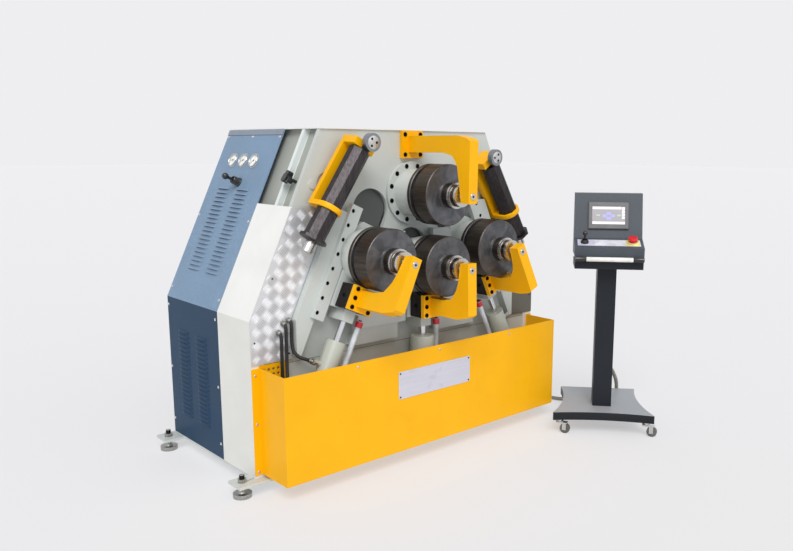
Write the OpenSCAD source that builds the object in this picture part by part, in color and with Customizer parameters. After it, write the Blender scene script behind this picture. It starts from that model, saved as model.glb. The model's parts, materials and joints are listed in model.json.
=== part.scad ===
// Four-roll angle roll bender with its operator console.
// Lengths in millimetres. X runs along the machine, Y from the front tray to the rear, Z up from the floor.

/* [Frame] */
// Width over the end covers
frame_w = 1666; // [1650:1:1690]
// Height of the top face
frame_h = 1473; // [1460:1:1490]
// Height where the ends start to lean inward
fold_z = 715; // [705:1:725]
// Lean of the ends and of the side slides, degrees
lean = 25; // [24.5:0.1:25.5]
// Depth of the frame behind the tray front
frame_d = 952; // [930:1:980]
// Front face of the column lips
lip_y = 193; // [192:0.5:194]
// Joint between the white end cover and the dark cabinet
cab_y = 462; // [440:1:480]
// Top of the white end covers
cover_z = 1158; // [1150:1:1165]
// Sheet thickness of covers and panels
sheet = 4; // [3:0.5:5]
// Front face of the front plate
plate_y = 200; // [199.5:0.5:200.5]
// Thickness of the front plate and of the rib plate
plate_t = 20; // [16:1:24]
// Front face of the rib plate
rib_y = 310; // [295:1:320]
// Width of the folded lips on the columns
lip_w = 60; // [50:1:70]
// Inset of the side webs from the leaning ends
web_in = 30; // [26:1:34]

/* [Base] */
// Thickness of the foot bars and side bars
bar_t = 12; // [10:1:14]
// Underside of the foot bars above the floor
bar_z = 50; // [48:1:54]
// Width of a foot bar
bar_w = 100; // [90:1:110]
// Half length of a foot bar
bar_half = 925; // [915:1:935]
// Height of the cross beams
beam_h = 80; // [70:1:90]
// Depth of the cross beams
beam_d = 60; // [50:1:70]
// Half spacing of the levelling feet
foot_x = 889; // [880:1:895]
// Front row of feet
foot_y_front = 200; // [195:1:205]
// Radius of a foot disc
foot_r = 38; // [34:1:40]
// Height of a foot disc
foot_h = 18; // [15:1:20]
// Radius of a levelling stud
stud_r = 10; // [8:0.5:11]
// Radius over the corners of a levelling nut
nut_r = 19; // [17:1:21]
// Height of a levelling nut
nut_h = 16; // [14:1:18]

/* [Rolls] */
// Radius of a roll
roll_r = 132.5; // [128:0.5:134]
// Front face of the rolls
roll_front = -62; // [-66:1:-58]
// Rear face of the rolls
roll_rear = 66; // [63:1:68]
// Thickness of the rear disc
disc_t = 20; // [16:1:22]
// Width of the groove
groove_w = 21; // [18:1:24]
// Radius at the bottom of the groove
groove_r = 112; // [105:1:118]
// Edge chamfer of the rolls
roll_ch = 3; // [2:0.5:4]
// Height of the top roll axis
top_z = 1194; // [1190:1:1200]
// Height of the bottom roll axis
low_z = 883; // [878:1:886]
// Half spacing of the side roll axes
side_x = 315; // [312:1:320]
// Height of the side roll axes
side_z = 937; // [932:1:940]

/* [Shafts] */
// Radius of a roll shaft
shaft_r = 45; // [42:0.5:46]
// Radius of the clamping collar
collar_r = 55.5; // [53:0.5:58]
// Front face of the clamping collar
collar_y = -112; // [-116:1:-108]
// Radius of the front ring
ring_r = 46.5; // [44:0.5:49]
// Front face of the front ring
ring_y = -146; // [-149:1:-140]
// Radius of the front journal
journal_r = 18; // [16:0.5:20]
// Front end of the journal
journal_y = -190; // [-194:1:-185]
// Rear end of the shaft
shaft_rear = 345; // [340:1:350]

/* [Slides] */
// Front face of the bed bars
bed_y = 155; // [152:1:156]
// Width of the tread plates beside the bed
tread_w = 190; // [183:1:193]
// Underside of the bed
bed_z = 548; // [540:1:552]
// Height where the bed starts to lean
bed_fold = 700; // [690:1:705]
// Top of the outer bed bars
bed_top = 1150; // [1140:1:1153]
// Top of the inner bed bars
wedge_top = 1030; // [1020:1:1036]
// Underside of the inner keepers
wedge_low = 623; // [615:1:630]
// Half width of a slide channel
chan = 115; // [113:0.5:117]
// Front face of the keepers
keep_y = 136; // [134:0.5:137]
// Inner edge of a keeper from the slide axis
keep_in = 83; // [82:0.5:86]
// Outer edge of a keeper from the slide axis
keep_out = 139; // [137:0.5:141]
// Lower end of an outer keeper along the slide
rail_low = -321; // [-330:1:-315]
// Length of an outer keeper
rail_len = 505; // [495:1:508]
// Pitch of the keeper screws
rail_pitch = 64.4; // [62:0.2:66]
// Screws in an outer keeper
rail_n = 8; // [6:1:8]
// Distance of the keeper screws from the slide axis
rail_line = 125; // [123:0.5:127]
// Radius of a screw recess
recess_r = 9; // [8:0.5:10]
// Depth of a screw recess
recess_d = 12; // [10:1:14]
// Lower end of a carriage along the slide
car_low = -245; // [-250:1:-243]
// Upper end of a side carriage
car_top = 140; // [130:1:145]
// Upper end of the centre carriage
car_mid = 105; // [95:1:108]
// Half width at the upper end of a carriage
car_tip = 40; // [35:1:45]
// Half width of the carriage neck
neck_half = 78; // [74:0.5:80]
// Front face of the carriage neck
neck_y = 130; // [128:0.5:131]
// Radius of the carriage boss
boss_r = 118; // [112:0.5:120]
// Front face of the carriage boss
boss_y = 72; // [71:0.5:76]
// Radius of the bearing tube
tube_r = 80; // [76:0.5:82]
// Radius of the slots in the front plate
slot_r = 94; // [92:0.5:96]
// Upper end of a side slot
slot_top = 208; // [200:1:212]
// Upper end of the centre slot
slot_mid = 60; // [55:1:70]
// Lower end of a slot
slot_low = -165; // [-175:1:-160]
// Radius of a roll gearbox
gear_r = 95; // [88:1:98]
// Rear face of a roll gearbox
gear_y = 520; // [500:1:540]
// Radius of a roll motor
motor_r = 55; // [48:1:60]
// Rear face of a roll motor
motor_y = 640; // [620:1:660]
// Front plate of a gearbox
gear_front = 350; // [345:1:360]
// Half width of a clevis block
clevis_half = 30; // [27:1:33]
// Lower face of a clevis block along the slide
clevis_low = -290; // [-294:1:-285]
// Front face of a clevis block
clevis_y = 92; // [88:1:96]

/* [Arms] */
// Half width of an arm
arm_half = 25; // [22:0.5:28]
// Half width of the arm flange and of the arm block
flange_half = 60; // [56:0.5:62]
// Lower end of the flange below the roll axis
flange_low = -240; // [-243:1:-236]
// Upper end of the flange below the roll axis
flange_top = -135; // [-139:1:-135]
// Front face of the flange
flange_y = 35; // [30:1:40]
// Thickness of the flange
flange_t = 20; // [17:0.5:24]
// Front face of the arm at the shaft
arm_y = -207; // [-210:1:-203]
// Rear face of the arm at the shaft
arm_back = -160; // [-163:1:-157]
// Underside of the arm below the roll axis
arm_low = -220; // [-224:1:-215]
// Upper side of the level leg below the roll axis
arm_leg = -148; // [-152:1:-142]
// End of the arm above the roll axis
arm_end = 30; // [28:1:34]
// Radius of the flange screw recesses
arm_screw_r = 10; // [8:0.5:11]
// Depth of the flange screw recesses
arm_screw_d = 9; // [7:0.5:11]
// Half pitch of the flange screws across
arm_px = 44; // [42:0.5:46]
// Pitch of the flange screws along
arm_pz = 39; // [36:0.5:41]
// Half height of the flange of the top arm
top_flange_half = 60; // [56:1:62]
// Radius of the top bearing flange
bearing_r = 140; // [136:1:142]
// Thickness of the top bearing flange
bearing_t = 15; // [12:1:18]
// Radius of the top bearing neck
bearing_neck = 105; // [98:1:110]
// Radius of the circle of the bearing screws
bearing_pcd = 122; // [120:1:125]
// Screws in the top bearing flange
bearing_n = 12; // [8:1:12]
// Radius of the bearing screw recesses
bearing_hole = 11; // [9:0.5:12]

/* [Cylinders] */
// Radius of the centre lift cylinder
barrel_r = 55; // [50:0.5:57]
// Radius of the centre cylinder bore
cavity_r = 40; // [36:0.5:42]
// Radius of a side lift cylinder
barrel_side_r = 43; // [41:0.5:46]
// Radius of a side cylinder bore
cavity_side_r = 31; // [28:0.5:33]
// Depth of the cylinder axis
barrel_y = 118; // [115:1:120]
// Upper end of a side cylinder along the slide
barrel_side = -379; // [-383:1:-374]
// Upper end of the centre cylinder along the slide
barrel_mid = -334; // [-338:1:-330]
// Length of a cylinder
barrel_len = 330; // [325:1:340]
// Thickness of the cylinder heads
head_t = 30; // [26:1:32]
// Radius of the centre piston rod
rod_r = 18; // [16:0.5:20]
// Radius of a side piston rod
rod_side_r = 14; // [12:0.5:16]
// Thickness of a piston
piston_t = 25; // [20:1:28]
// Free stroke above a piston at rest
stroke_up = 155; // [153:1:160]
// Radius of a position sensor tube
sensor_r = 12; // [10:0.5:13]
// Radius of a position sensor cap
cap_r = 16; // [14:0.5:16.5]
// Height of a position sensor cap
cap_h = 26; // [22:1:30]
// Offset of a position sensor from the slide axis
sensor_x = 80; // [79:0.5:82]
// Depth of a position sensor
sensor_y = 112; // [108:1:114]
// Upper end of a position sensor along the slide
sensor_top = -268; // [-272:1:-266]
// Length of a position sensor
sensor_len = 330; // [310:1:340]
// Radius of a hydraulic hose
hose_r = 7; // [6:0.5:8]

/* [Guides] */
// Lean of a side guide across the machine, degrees
guide_lean = 32.5; // [32:0.1:33]
// Lean of a side guide toward the front, degrees
guide_tip = 2.6; // [2:0.1:3.2]
// Half spacing of the guide lugs
guide_x = 503; // [499:1:508]
// Depth of the guide axis at its lower lug
guide_y = 100; // [97:1:102]
// Height of the guide axis at its lower lug
guide_z = 1160; // [1156:1:1165]
// Radius over the flats of a guide bar
guide_r = 42; // [40:0.5:44]
// Radius of the guide lugs
lug_r = 55; // [54:0.5:58]
// Thickness of a guide lug
lug_t = 22; // [20:1:24]
// Rear face of a guide bracket behind its axis
spine_y = 75; // [73:1:78]
// Thickness of a guide bracket spine
spine_t = 22; // [20:1:24]
// Length of a guide bracket above its lower lug
spine_len = 301; // [299:1:306]
// Upper end of a guide bar above the lower lug
guide_top = 262; // [258:1:265]
// Lower end of a guide bar below the lower lug
guide_low = 156; // [150:1:160]
// Radius over the flats of a guide bar's end plate
end_r = 55; // [52:0.5:58]
// Thickness of a guide bar's end plate
end_t = 12; // [10:0.5:14]
// Distance by which the right guide stands lower
guide_drop = 75; // [70:1:80]
// Radius of a guide roller
groll_r = 37.5; // [36:0.5:39]
// Width of a guide roller
groll_w = 25; // [22:0.5:27]
// Radius of a guide roller pin
gpin_r = 9; // [8:0.5:10]
// Radius of the guide stub
stub_r = 20; // [18:0.5:22]
// Length of the guide stub
stub_len = 53; // [48:1:58]

/* [Tray] */
// Inset of the tray from the end covers
tray_in = 33; // [29:1:38]
// Underside of the tray
tray_z = 74; // [72:1:80]
// Top edge of the tray
tray_top = 521; // [515:1:526]
// Sheet thickness of the tray
tray_t = 3; // [2:0.5:4]
// Lower edge of the tread plates
tread_z = 534; // [530:1:540]
// Upper edge of the tread plates
tread_top = 1155; // [1148:1:1157]
// Gap between tread plates and bed
tread_gap = 3; // [2:0.5:4]

/* [Cabinet] */
// Louvres in a column
louvre_n = 20; // [16:1:20]
// Pitch of the louvres
louvre_p = 20.5; // [19:0.1:21]
// Width of a louvre
louvre_w = 112; // [105:1:116]
// Height of a louvre opening
louvre_h = 6; // [5:0.5:7]
// Radius of a pressure gauge
gauge_r = 31.5; // [29:0.5:33]
// Depth of a pressure gauge
gauge_d = 8; // [7:0.5:10]
// Pitch of the pressure gauges
gauge_p = 94; // [90:1:98]
// Length of the valve lever
lever_len = 70; // [66:1:76]
// Radius of the valve lever
lever_r = 7; // [6:0.25:7]
// Radius of the lever knob
lever_knob = 15; // [14:0.5:16]
// Radius of the clamp knob
clamp_r = 30; // [27:0.5:32]

/* [Console] */
// Turn of the console from the machine, degrees
console_turn = 49.2; // [48:0.2:50]
// Front middle of the console base along the machine
console_x = 760; // [755:1:770]
// Front middle of the console base across the machine
console_y = -364; // [-370:1:-360]
// Half width of the base at the front
base_front = 246; // [240:1:250]
// Half width of the base at the rear
base_rear = 197; // [192:1:202]
// Depth of the base
base_d = 443; // [435:1:450]
// Thickness of the base
base_t = 41; // [38:1:44]
// Radius of the hollow sides of the base
base_hollow = 845; // [830:5:860]
// Half width of the base at its waist
base_waist = 187; // [186:0.5:189]
// Depth of the hollow front of the base
base_sag = 24; // [20:1:27]
// Half width of the column
col_half = 46; // [43:1:50]
// Front face of the column
col_y = 125; // [120:1:130]
// Depth of the column
col_d = 100; // [90:1:110]
// Wall of the column
col_wall = 4; // [3:0.5:5]
// Underside of the head
head_z = 885; // [880:1:890]
// Half width of the head
head_half = 165; // [160:1:172]
// Half width of the screen bezel
screen_half = 98; // [94:1:102]
// Height of the screen bezel
screen_h = 135; // [130:1:140]
// Thickness of the screen bezel
screen_t = 10; // [8:0.5:12]
// Radius of the handle bar
handle_r = 11; // [9:0.5:12]
// Half length of the handle bar
handle_half = 161; // [155:1:165]
// Radius of the stop button
stop_r = 23; // [21:0.5:24]
// Height of the stop button
stop_h = 17; // [15:0.5:19]
// Radius of the stop button base
stop_base = 25; // [24:0.5:27]
// Radius of the joystick ball
stick_ball = 13; // [12:0.5:14]
// Length of the joystick
stick_len = 50; // [46:1:54]
// Radius of a castor wheel
wheel_r = 25; // [24:0.5:26]
// Half width of a castor wheel
wheel_half = 9; // [8:0.5:10]
// Turn of the castors from the console's back, degrees
castor_turn = 75; // [60:1:90]
// Trail of a castor
trail = 28; // [26:1:30]
// Radius of a castor stem
stem_r = 6; // [5:0.5:7]
// Radius of the console cable
cable_r = 10; // [8:0.5:11]

/* [Fits] */
// Radial clearance of running fits
run_gap = 0.05; // [0.03:0.01:0.08]
// Clearance of sliding faces
slide_gap = 0.5; // [0.4:0.1:0.8]
// Overrun of cuts
over = 5; // [3:1:6]

/* [Hidden] */
$fn = 64;

half = frame_w / 2;
top_half = half - (frame_h - fold_z) * tan(lean);
bar_top = bar_z + bar_t;
roll_xs = [-side_x, 0, side_x];
roll_zs = [side_z, low_z, side_z];
tilts = [lean, 0, -lean];
car_tops = [car_top, car_mid, car_top];
slot_tops = [slot_top, slot_mid, slot_top];
barrels = [barrel_side, barrel_mid, barrel_side];
barrel_rs = [barrel_side_r, barrel_r, barrel_side_r];
cavity_rs = [cavity_side_r, cavity_r, cavity_side_r];
rod_rs = [rod_side_r, rod_r, rod_side_r];
sensor_side = [1, 1, -1];
rear_in = frame_d - sheet;
top_in = frame_h - sheet;
bed_half = half - tread_w;
tray_half = half - tray_in;
foot_in = 52;
foot_y_rear = frame_d - foot_in;
top_flange_z = top_in - top_flange_half - 2 * slide_gap;
top_rise = 2;
// extra reach of the top arm above its roll
top_reach = top_flange_z - top_z + (arm_low + arm_leg) / 2 + top_rise;
// length of cuts that run right through
reach = 1200;

// the whole part stands with the middle of its footprint on the origin
low_x = -bar_half;
high_x = console_x + base_rear * cos(console_turn) + base_d * sin(console_turn);
low_y = console_y - base_front * sin(console_turn);
place_x = -(low_x + high_x) / 2;
place_y = -(low_y + frame_d) / 2;

// console head profile, depth and height
head_pts = [[40, 0], [40, 43], [150, 78], [212, 293], [244, 295], [250, 0]];
desk_tilt = atan2(head_pts[2][1] - head_pts[1][1], head_pts[2][0] - head_pts[1][0]);
screen_tilt = atan2(head_pts[3][1] - head_pts[2][1], head_pts[3][0] - head_pts[2][0]);
castor_in = [34, 25];
castor_off = [30, 28];
castor_x = [base_front - castor_in[0], base_rear - castor_in[1]];
castor_y = [castor_off[0], base_d - castor_off[1]];
castor_pts = [[-castor_x[0], castor_y[0]], [castor_x[0], castor_y[0]], [-castor_x[1], castor_y[1]],
  [castor_x[1], castor_y[1]]];

// routes of the hoses and of the cable
hose_x = [bed_half + 17, bed_half + 42, bed_half + 65];
hose_a = [[-hose_x[0], 189, 700], [-hose_x[0], 172, 698], [-hose_x[0], 165, 680], [-hose_x[0], 165, 640],
  [-hose_x[0], 163, 600],
  [-657, 155, 572], [-644, 138, 552], [-619, 121, 539], [-592, 118, 526]];
hose_b = [[-hose_x[1], 189, 690], [-hose_x[1], 172, 688], [-hose_x[1], 165, 670], [-hose_x[1], 165, 640],
  [-hose_x[1], 165, 600],
  [-686, 164, 560], [-690, 158, 510], [-697, 145, 460], [-704, 128, 415], [-703, 120, 388], [-692, 118, 375],
  [-667, 118, 363]];
hose_c = [[-hose_x[2], 189, 655], [-hose_x[2], 172, 653], [-hose_x[2], 165, 635], [-hose_x[2], 165, 600],
  [-hose_x[2], 165, 560], [-hose_x[2], 165, 520], [-hose_x[2], 165, 480], [-hose_x[2], 165, 440],
  [-hose_x[2], 165, 400], [-hose_x[2], 165, 360], [-hose_x[2], 165, 330], [-hose_x[2], 170, 312],
  [-hose_x[2], 189, 306]];
cable_pts = [[930, -217, 300], [957, -195, 300], [995, -182, 292], [1038, -174, 274], [1079, -168, 245],
  [1117, -161, 208], [1150, -153, 168], [1176, -142, 128], [1194, -129, 90], [1203, -114, 55], [1204, -94, 28],
  [1197, -69, 14], [1181, -40, 11.5], [1157, -8, 11.5], [1129, 27, 11.5], [1098, 62, 11.5], [1062, 95, 11.5],
  [1034, 132, 11.5], [1015, 180, 11.5], [1000, 230, 11.5], [970, 275, 11.5], [935, 305, 22], [908, 325, 58],
  [887, 335, 96], [862, 340, 118], [833, 340, 120]];
gland_room = 1.5;
gland_r = 18;
gland_len = 18;

module place() {
  translate([place_x, place_y, 0]) children();
}

module both() {
  children();
  mirror([1, 0, 0]) children();
}

// box between two corners
module box(x, y, z) {
  translate([x[0], y[0], z[0]]) cube([x[1] - x[0], y[1] - y[0], z[1] - z[0]]);
}

// round bar along Y
module rod_y(r, y) {
  translate([0, y[1], 0]) rotate([90, 0, 0]) cylinder(h = y[1] - y[0], r = r);
}

// flat outline in X and Z, thickened along Y
module slab(y) {
  translate([0, y[1], 0]) rotate([90, 0, 0]) linear_extrude(y[1] - y[0]) children();
}

// flat outline in Y and Z, thickened along X
module sheet_x(x) {
  translate([x[0], 0, 0]) rotate([90, 0, 90]) linear_extrude(x[1] - x[0]) children();
}

module on_slide(i) {
  translate([roll_xs[i], 0, roll_zs[i]]) rotate([0, tilts[i], 0]) children();
}

module flat_slide(i) {
  translate([roll_xs[i], roll_zs[i]]) rotate(-tilts[i]) children();
}

// frame on the leaning left end: X inward, Z up the lean
module on_lean() {
  translate([-half, 0, fold_z]) rotate([0, lean, 0]) children();
}

module on_guide(drop) {
  translate([-guide_x, guide_y, guide_z]) rotate([0, guide_lean, 0]) rotate([guide_tip, 0, 0])
    translate([0, 0, -drop]) children();
}

module on_console() {
  translate([console_x, console_y, 0]) rotate([0, 0, -console_turn]) children();
}

module on_desk() {
  translate([0, head_pts[1][0], head_z + head_pts[1][1]]) rotate([desk_tilt, 0, 0]) children();
}

module on_screen() {
  translate([0, head_pts[2][0], head_z + head_pts[2][1]]) rotate([screen_tilt, 0, 0]) children();
}

// outline of the frame, drawn in by a margin
module outline(m, z) {
  top = half - m / cos(lean) - (z[1] - fold_z) * tan(lean);
  fold = fold_z - m * tan(lean / 2);
  polygon([[-half + m, z[0]], [half - m, z[0]], [half - m, fold],
    [top, z[1]], [-top, z[1]], [-half + m, fold]]);
}

// sheet bent along the left end, from one height to another
module bent(z, t) {
  x = -half + (z[1] - fold_z) * tan(lean);
  polygon([[-half, z[0]], [-half, fold_z], [x, z[1]], [x + t * cos(lean), z[1] - t * sin(lean)],
    [-half + t, fold_z - t * tan(lean / 2)], [-half + t, z[0]]]);
}

// round tube along a list of points
function unit(v) = v / norm(v);
function heading(p, i) = unit(p[min(i + 1, len(p) - 1)] - p[max(i - 1, 0)]);
function sideways(d) = unit(cross(d, abs(d[2]) > 0.9 ? [1, 0, 0] : [0, 0, 1]));
function carried(p, i) = i == 0 ? sideways(heading(p, 0))
  : let (d = heading(p, i), u = carried(p, i - 1)) unit(u - (u * d) * d);
// ring that a cable runs through, standing on a face and pointing up
module gland() {
  difference() {
    cylinder(h = gland_len, r = gland_r);
    translate([0, 0, -over]) cylinder(h = gland_len + 2 * over, r = cable_r + gland_room);
  }
}
module tube(p, r, sides) {
  n = len(p);
  rings = [for (i = [0 : n - 1]) let (d = heading(p, i), u = carried(p, i), v = cross(d, u))
    for (k = [0 : sides - 1]) p[i] + r * (cos(360 * k / sides) * u + sin(360 * k / sides) * v)];
  walls = [for (i = [0 : n - 2]) for (k = [0 : sides - 1])
    [i * sides + k, i * sides + (k + 1) % sides, (i + 1) * sides + (k + 1) % sides, (i + 1) * sides + k]];
  near = [[for (k = [0 : sides - 1]) k]];
  far = [[for (k = [0 : sides - 1]) n * sides - 1 - k]];
  lower = [for (w = walls) [w[2], w[1], w[0]]];
  upper = [for (w = walls) [w[3], w[2], w[0]]];
  polyhedron(points = rings, faces = concat(near, far, lower, upper));
}
hose_sides = 10;

module base_frame() {
  color("gainsboro")
  difference() {
    union() {
      for (y = [foot_y_front, foot_y_rear])
        box([-bar_half, bar_half], [y - bar_w / 2, y + bar_w / 2], [bar_z, bar_top]);
      both() box([-half, -half + bar_w], [foot_y_front, frame_d], [bar_z, bar_top]);
      for (y = [plate_y + plate_t, foot_y_rear - beam_d])
        box([-half + bar_w, half - bar_w], [y + over, y + over + beam_d], [bar_top, bar_top + beam_h]);
      both() box([-half + bar_w, -half + bar_w + beam_d], [plate_y + plate_t + over, foot_y_rear],
        [bar_z, bar_top + beam_h]);
    }
    both() for (y = [foot_y_front, foot_y_rear])
      translate([-foot_x, y, bar_z - over]) cylinder(h = bar_t + 2 * over, r = stud_r + slide_gap);
    box([-half, half], [rib_y - slide_gap, rib_y + plate_t + slide_gap],
      [bar_top, bar_top + beam_h + over]);
  }
}

module levelling_feet() {
  color("silver")
  both() for (y = [foot_y_front, foot_y_rear]) translate([-foot_x, y, 0]) {
    cylinder(h = foot_h, r = foot_r);
    cylinder(h = bar_top + 2 * nut_h, r = stud_r);
    translate([0, 0, foot_h]) cylinder(h = bar_z - nut_h - foot_h, r1 = nut_r, r2 = stud_r);
    translate([0, 0, bar_z - nut_h]) cylinder(h = nut_h, r = nut_r, $fn = 6);
    translate([0, 0, bar_top]) cylinder(h = nut_h, r = nut_r, $fn = 6);
  }
}

plug_r = 18;
plug_x = 521;
plug_drop = 226;
plug_z = top_in - plug_drop;
eye_r = 48;
eye_share = 0.4;
eye_x = 450;
eye_drop = 223;
eye_z = top_in - eye_drop;
module front_plate() {
  color("ivory")
  difference() {
    slab([plate_y, plate_y + plate_t]) difference() {
      outline(sheet, [bar_top, top_in]);
      for (i = [0 : 2]) flat_slide(i) {
        translate([0, slot_tops[i]]) circle(slot_r);
        translate([-slot_r, slot_low]) square([2 * slot_r, slot_tops[i] - slot_low]);
      }
      translate([0, top_z]) circle(tube_r + slide_gap);
    }
    both() translate([-eye_x, 0, eye_z]) rod_y(eye_r, [plate_y - over, plate_y + plate_t * eye_share]);
  }
  color("ivory")
  both() translate([-plug_x, 0, plug_z]) rod_y(plug_r, [plate_y - over, plate_y]);
}

module web() {
  low = (cover_z - fold_z) / cos(lean) - web_in;
  high = (top_in - fold_z + web_in * sin(lean)) / cos(lean) - slide_gap;
  on_lean() {
    box([web_in, web_in + 2 * sheet], [plate_y + plate_t, rib_y], [low, high]);
    box([web_in, web_in + 2 * sheet], [rib_y + plate_t, cab_y + 2 * web_in], [low, high]);
  }
}
module knob_seat() {
  on_lean() translate([0, clamp_y, clamp_along]) rotate([0, 90, 0])
    cylinder(h = 2 * web_in, r = lever_r + run_gap);
}
module rib_plate() {
  color("ivory")
  slab([rib_y, rib_y + plate_t]) difference() {
    outline(sheet, [bar_top, top_in]);
    for (i = [0 : 2]) flat_slide(i) {
      translate([0, slot_tops[i]]) circle(slot_r);
      translate([-slot_r, slot_low]) square([2 * slot_r, slot_tops[i] - slot_low]);
    }
    translate([0, top_z]) circle(tube_r + slide_gap);
  }
  color("ivory") difference() {
    both() web();
    knob_seat();
  }
}

module bed_flat() {
  x = bed_half - (bed_top - bed_fold) * tan(lean);
  difference() {
    polygon([[-bed_half, bed_z], [-bed_half, bed_fold], [-x, bed_top], [-side_x / 2, wedge_top],
      [side_x / 2, wedge_top], [x, bed_top], [bed_half, bed_fold], [bed_half, bed_z]]);
    for (i = [0 : 2]) flat_slide(i) translate([-chan, -reach]) square([2 * chan, 2 * reach]);
  }
}
module wedge_flat() {
  intersection() {
    translate([-reach - keep_in, wedge_low]) square([reach, wedge_top - wedge_low]);
    flat_slide(0) translate([keep_in, -reach]) square([reach, 2 * reach]);
  }
}
wedge_rows = 6;
module slide_ways() {
  color("ivory") slab([bed_y, plate_y]) bed_flat();
  color("ivory") both() {
    difference() {
      on_slide(0) box([-keep_out, -keep_in], [keep_y, bed_y + over], [rail_low, rail_low + rail_len]);
      for (k = [0 : rail_n - 1]) on_slide(0)
        translate([-rail_line, 0, rail_low + (rail_len + (rail_n - 1) * rail_pitch) / 2 - k * rail_pitch])
        rod_y(recess_r, [keep_y - over, keep_y + recess_d]);
    }
    difference() {
      slab([keep_y, bed_y + over]) wedge_flat();
      for (k = [0 : wedge_rows - 1])
        translate([-rail_line, 0, wedge_low + (k + 1) * rail_pitch - rail_pitch / 2])
        rod_y(recess_r, [keep_y - over, keep_y + recess_d]);
      for (k = [0 : wedge_rows - 3]) on_slide(0)
        translate([rail_line, 0, rail_low / 2 - rail_pitch + k * rail_pitch])
        rod_y(recess_r, [keep_y - over, keep_y + recess_d]);
    }
  }
}

module frame_covers() {
  color("whitesmoke") {
    both() {
      slab([lip_y, cab_y]) bent([bar_top, cover_z], sheet);
      slab([lip_y, plate_y]) bent([bar_top, cover_z], lip_w);
    }
    box([-top_half, top_half], [lip_y, frame_d], [top_in, frame_h]);
    translate(cable_pts[len(cable_pts) - 1]) rotate([0, 90, 0]) gland();
  }
}

module tread_plates() {
  m = sheet;
  x_top = -half + (tread_top - fold_z) * tan(lean);
  x_bed = -bed_half - tread_gap;
  x_in = -bed_half - tread_gap + (tread_top - bed_fold) * tan(lean);
  color("silver")
  both() slab([lip_y - m, lip_y])
    polygon([[-half, tread_z], [-half, fold_z], [x_top, tread_top],
      [x_in, tread_top], [x_bed, bed_fold], [x_bed, tread_z]]);
}

panel_mid = (cab_y + frame_d) / 2;
slope = (top_in - fold_z) / cos(lean);
vent_shift = 5.5;
vent_p = 173;
vent_y = panel_mid + vent_shift - (vent_p + louvre_w) / 2;
module louvre_holes(z0) {
  for (c = [0 : 1]) for (k = [0 : louvre_n - 1])
    translate([vent_y + c * vent_p, z0 + k * louvre_p])
    square([louvre_w, louvre_h]);
}
vent_low = 176;
vent_high = 148;
gauge_drop = 151;
gauge_shift = 7;
gauge_along = slope - gauge_drop;
gauge_mid = panel_mid + gauge_shift;
lever_drop = 256;
lever_shift = -20;
lever_y = panel_mid + lever_shift;
lever_along = slope - lever_drop;
module cabinet_panels() {
  color("dimgray")
  both() difference() {
    slab([cab_y, frame_d]) bent([bar_top, top_in], sheet);
    sheet_x([-half - over, -half + sheet + over]) louvre_holes(vent_low);
    on_lean() sheet_x([-over, sheet + over]) louvre_holes(vent_high);
  }
}

module rear_panel() {
  color("dimgray")
  slab([rear_in, frame_d]) difference() {
    outline(2 * sheet, [bar_top, top_in]);
    for (s = [-1, 1]) for (k = [0 : louvre_n - 1])
      translate([s * 2 * louvre_w - louvre_w / 2, vent_low + k * louvre_p]) square([louvre_w, louvre_h]);
  }
}

screen_top = 531;
screen_w = 120;
hole_r = 6;
hole_p = 22;
module front_tray() {
  color("orange") {
    difference() {
      box([-tray_half, tray_half], [0, lip_y - sheet], [tray_z, tray_top]);
      box([-tray_half + tray_t, tray_half - tray_t], [tray_t, lip_y + over],
        [tray_z + tray_t, tray_top + over]);
    }
    both() box([-half, -tray_half + tray_t], [lip_y - sheet, lip_y], [tray_z, tray_top]);
    difference() {
      box([-tray_half, -tray_half + screen_w], [lip_y - sheet, lip_y], [tray_z, screen_top]);
      for (k = [0 : 4]) for (j = [0 : 3])
        translate([-tray_half + (k + 1) * hole_p, 0, screen_top - (j + 1) * hole_p])
        rod_y(hole_r, [lip_y - sheet - over, lip_y + over]);
    }
  }
}

lever_base = 20;
lever_pin = 4;
yoke_in = 8;
yoke_out = 14;
yoke_h = 32;
module valve_base() {
  on_lean() translate([0, lever_y, lever_along]) rotate([0, -90, 0]) difference() {
    union() {
      box([-yoke_out, yoke_out], [-yoke_out, yoke_out], [0, lever_pin]);
      for (s = [-1, 1]) translate([0, s * (yoke_in + yoke_out) / 2, 0])
        box([-yoke_in, yoke_in], [(yoke_in - yoke_out) / 2, (yoke_out - yoke_in) / 2], [0, yoke_h]);
    }
    translate([0, 0, lever_base]) rod_y(lever_pin + run_gap, [-reach, reach]);
  }
}
module panel_instruments() {
  color("whitesmoke") valve_base();
  color("whitesmoke")
  for (k = [-1 : 1]) on_lean() translate([0, gauge_mid + k * gauge_p, gauge_along]) rotate([0, -90, 0]) {
    difference() {
      cylinder(h = gauge_d, r = gauge_r);
      translate([0, 0, gauge_d - sheet]) cylinder(h = sheet + over, r = gauge_r - sheet);
    }
  }
}

port_r = 11;
port_out = 77;
port_low = 40;
port_drops = [110, 110, 64];
seat_half = 45;
module barrel(i) {
  top = barrels[i];
  low = top - barrel_len;
  r = barrel_rs[i];
  bore = rod_rs[i];
  on_slide(i) {
    translate([0, barrel_y, low]) difference() {
      cylinder(h = barrel_len, r = r);
      translate([0, 0, head_t]) cylinder(h = barrel_len - 2 * head_t, r = cavity_rs[i]);
      cylinder(h = barrel_len + over, r = bore + run_gap);
      translate([0, 0, -over]) cylinder(h = head_t, r = bore + over);
    }
    translate([0, barrel_y, low - over]) cylinder(h = head_t, r = bore + over);
    box([-seat_half, seat_half], [barrel_y - seat_half, plate_y], [low - seat_half, low]);
    for (z = [low + port_low, top - port_drops[i]])
      translate([0, barrel_y, z]) rotate([0, -90 * sensor_side[i], 0])
      translate([0, 0, r - sheet]) cylinder(h = port_out - r + sheet, r = port_r);
  }
}
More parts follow.
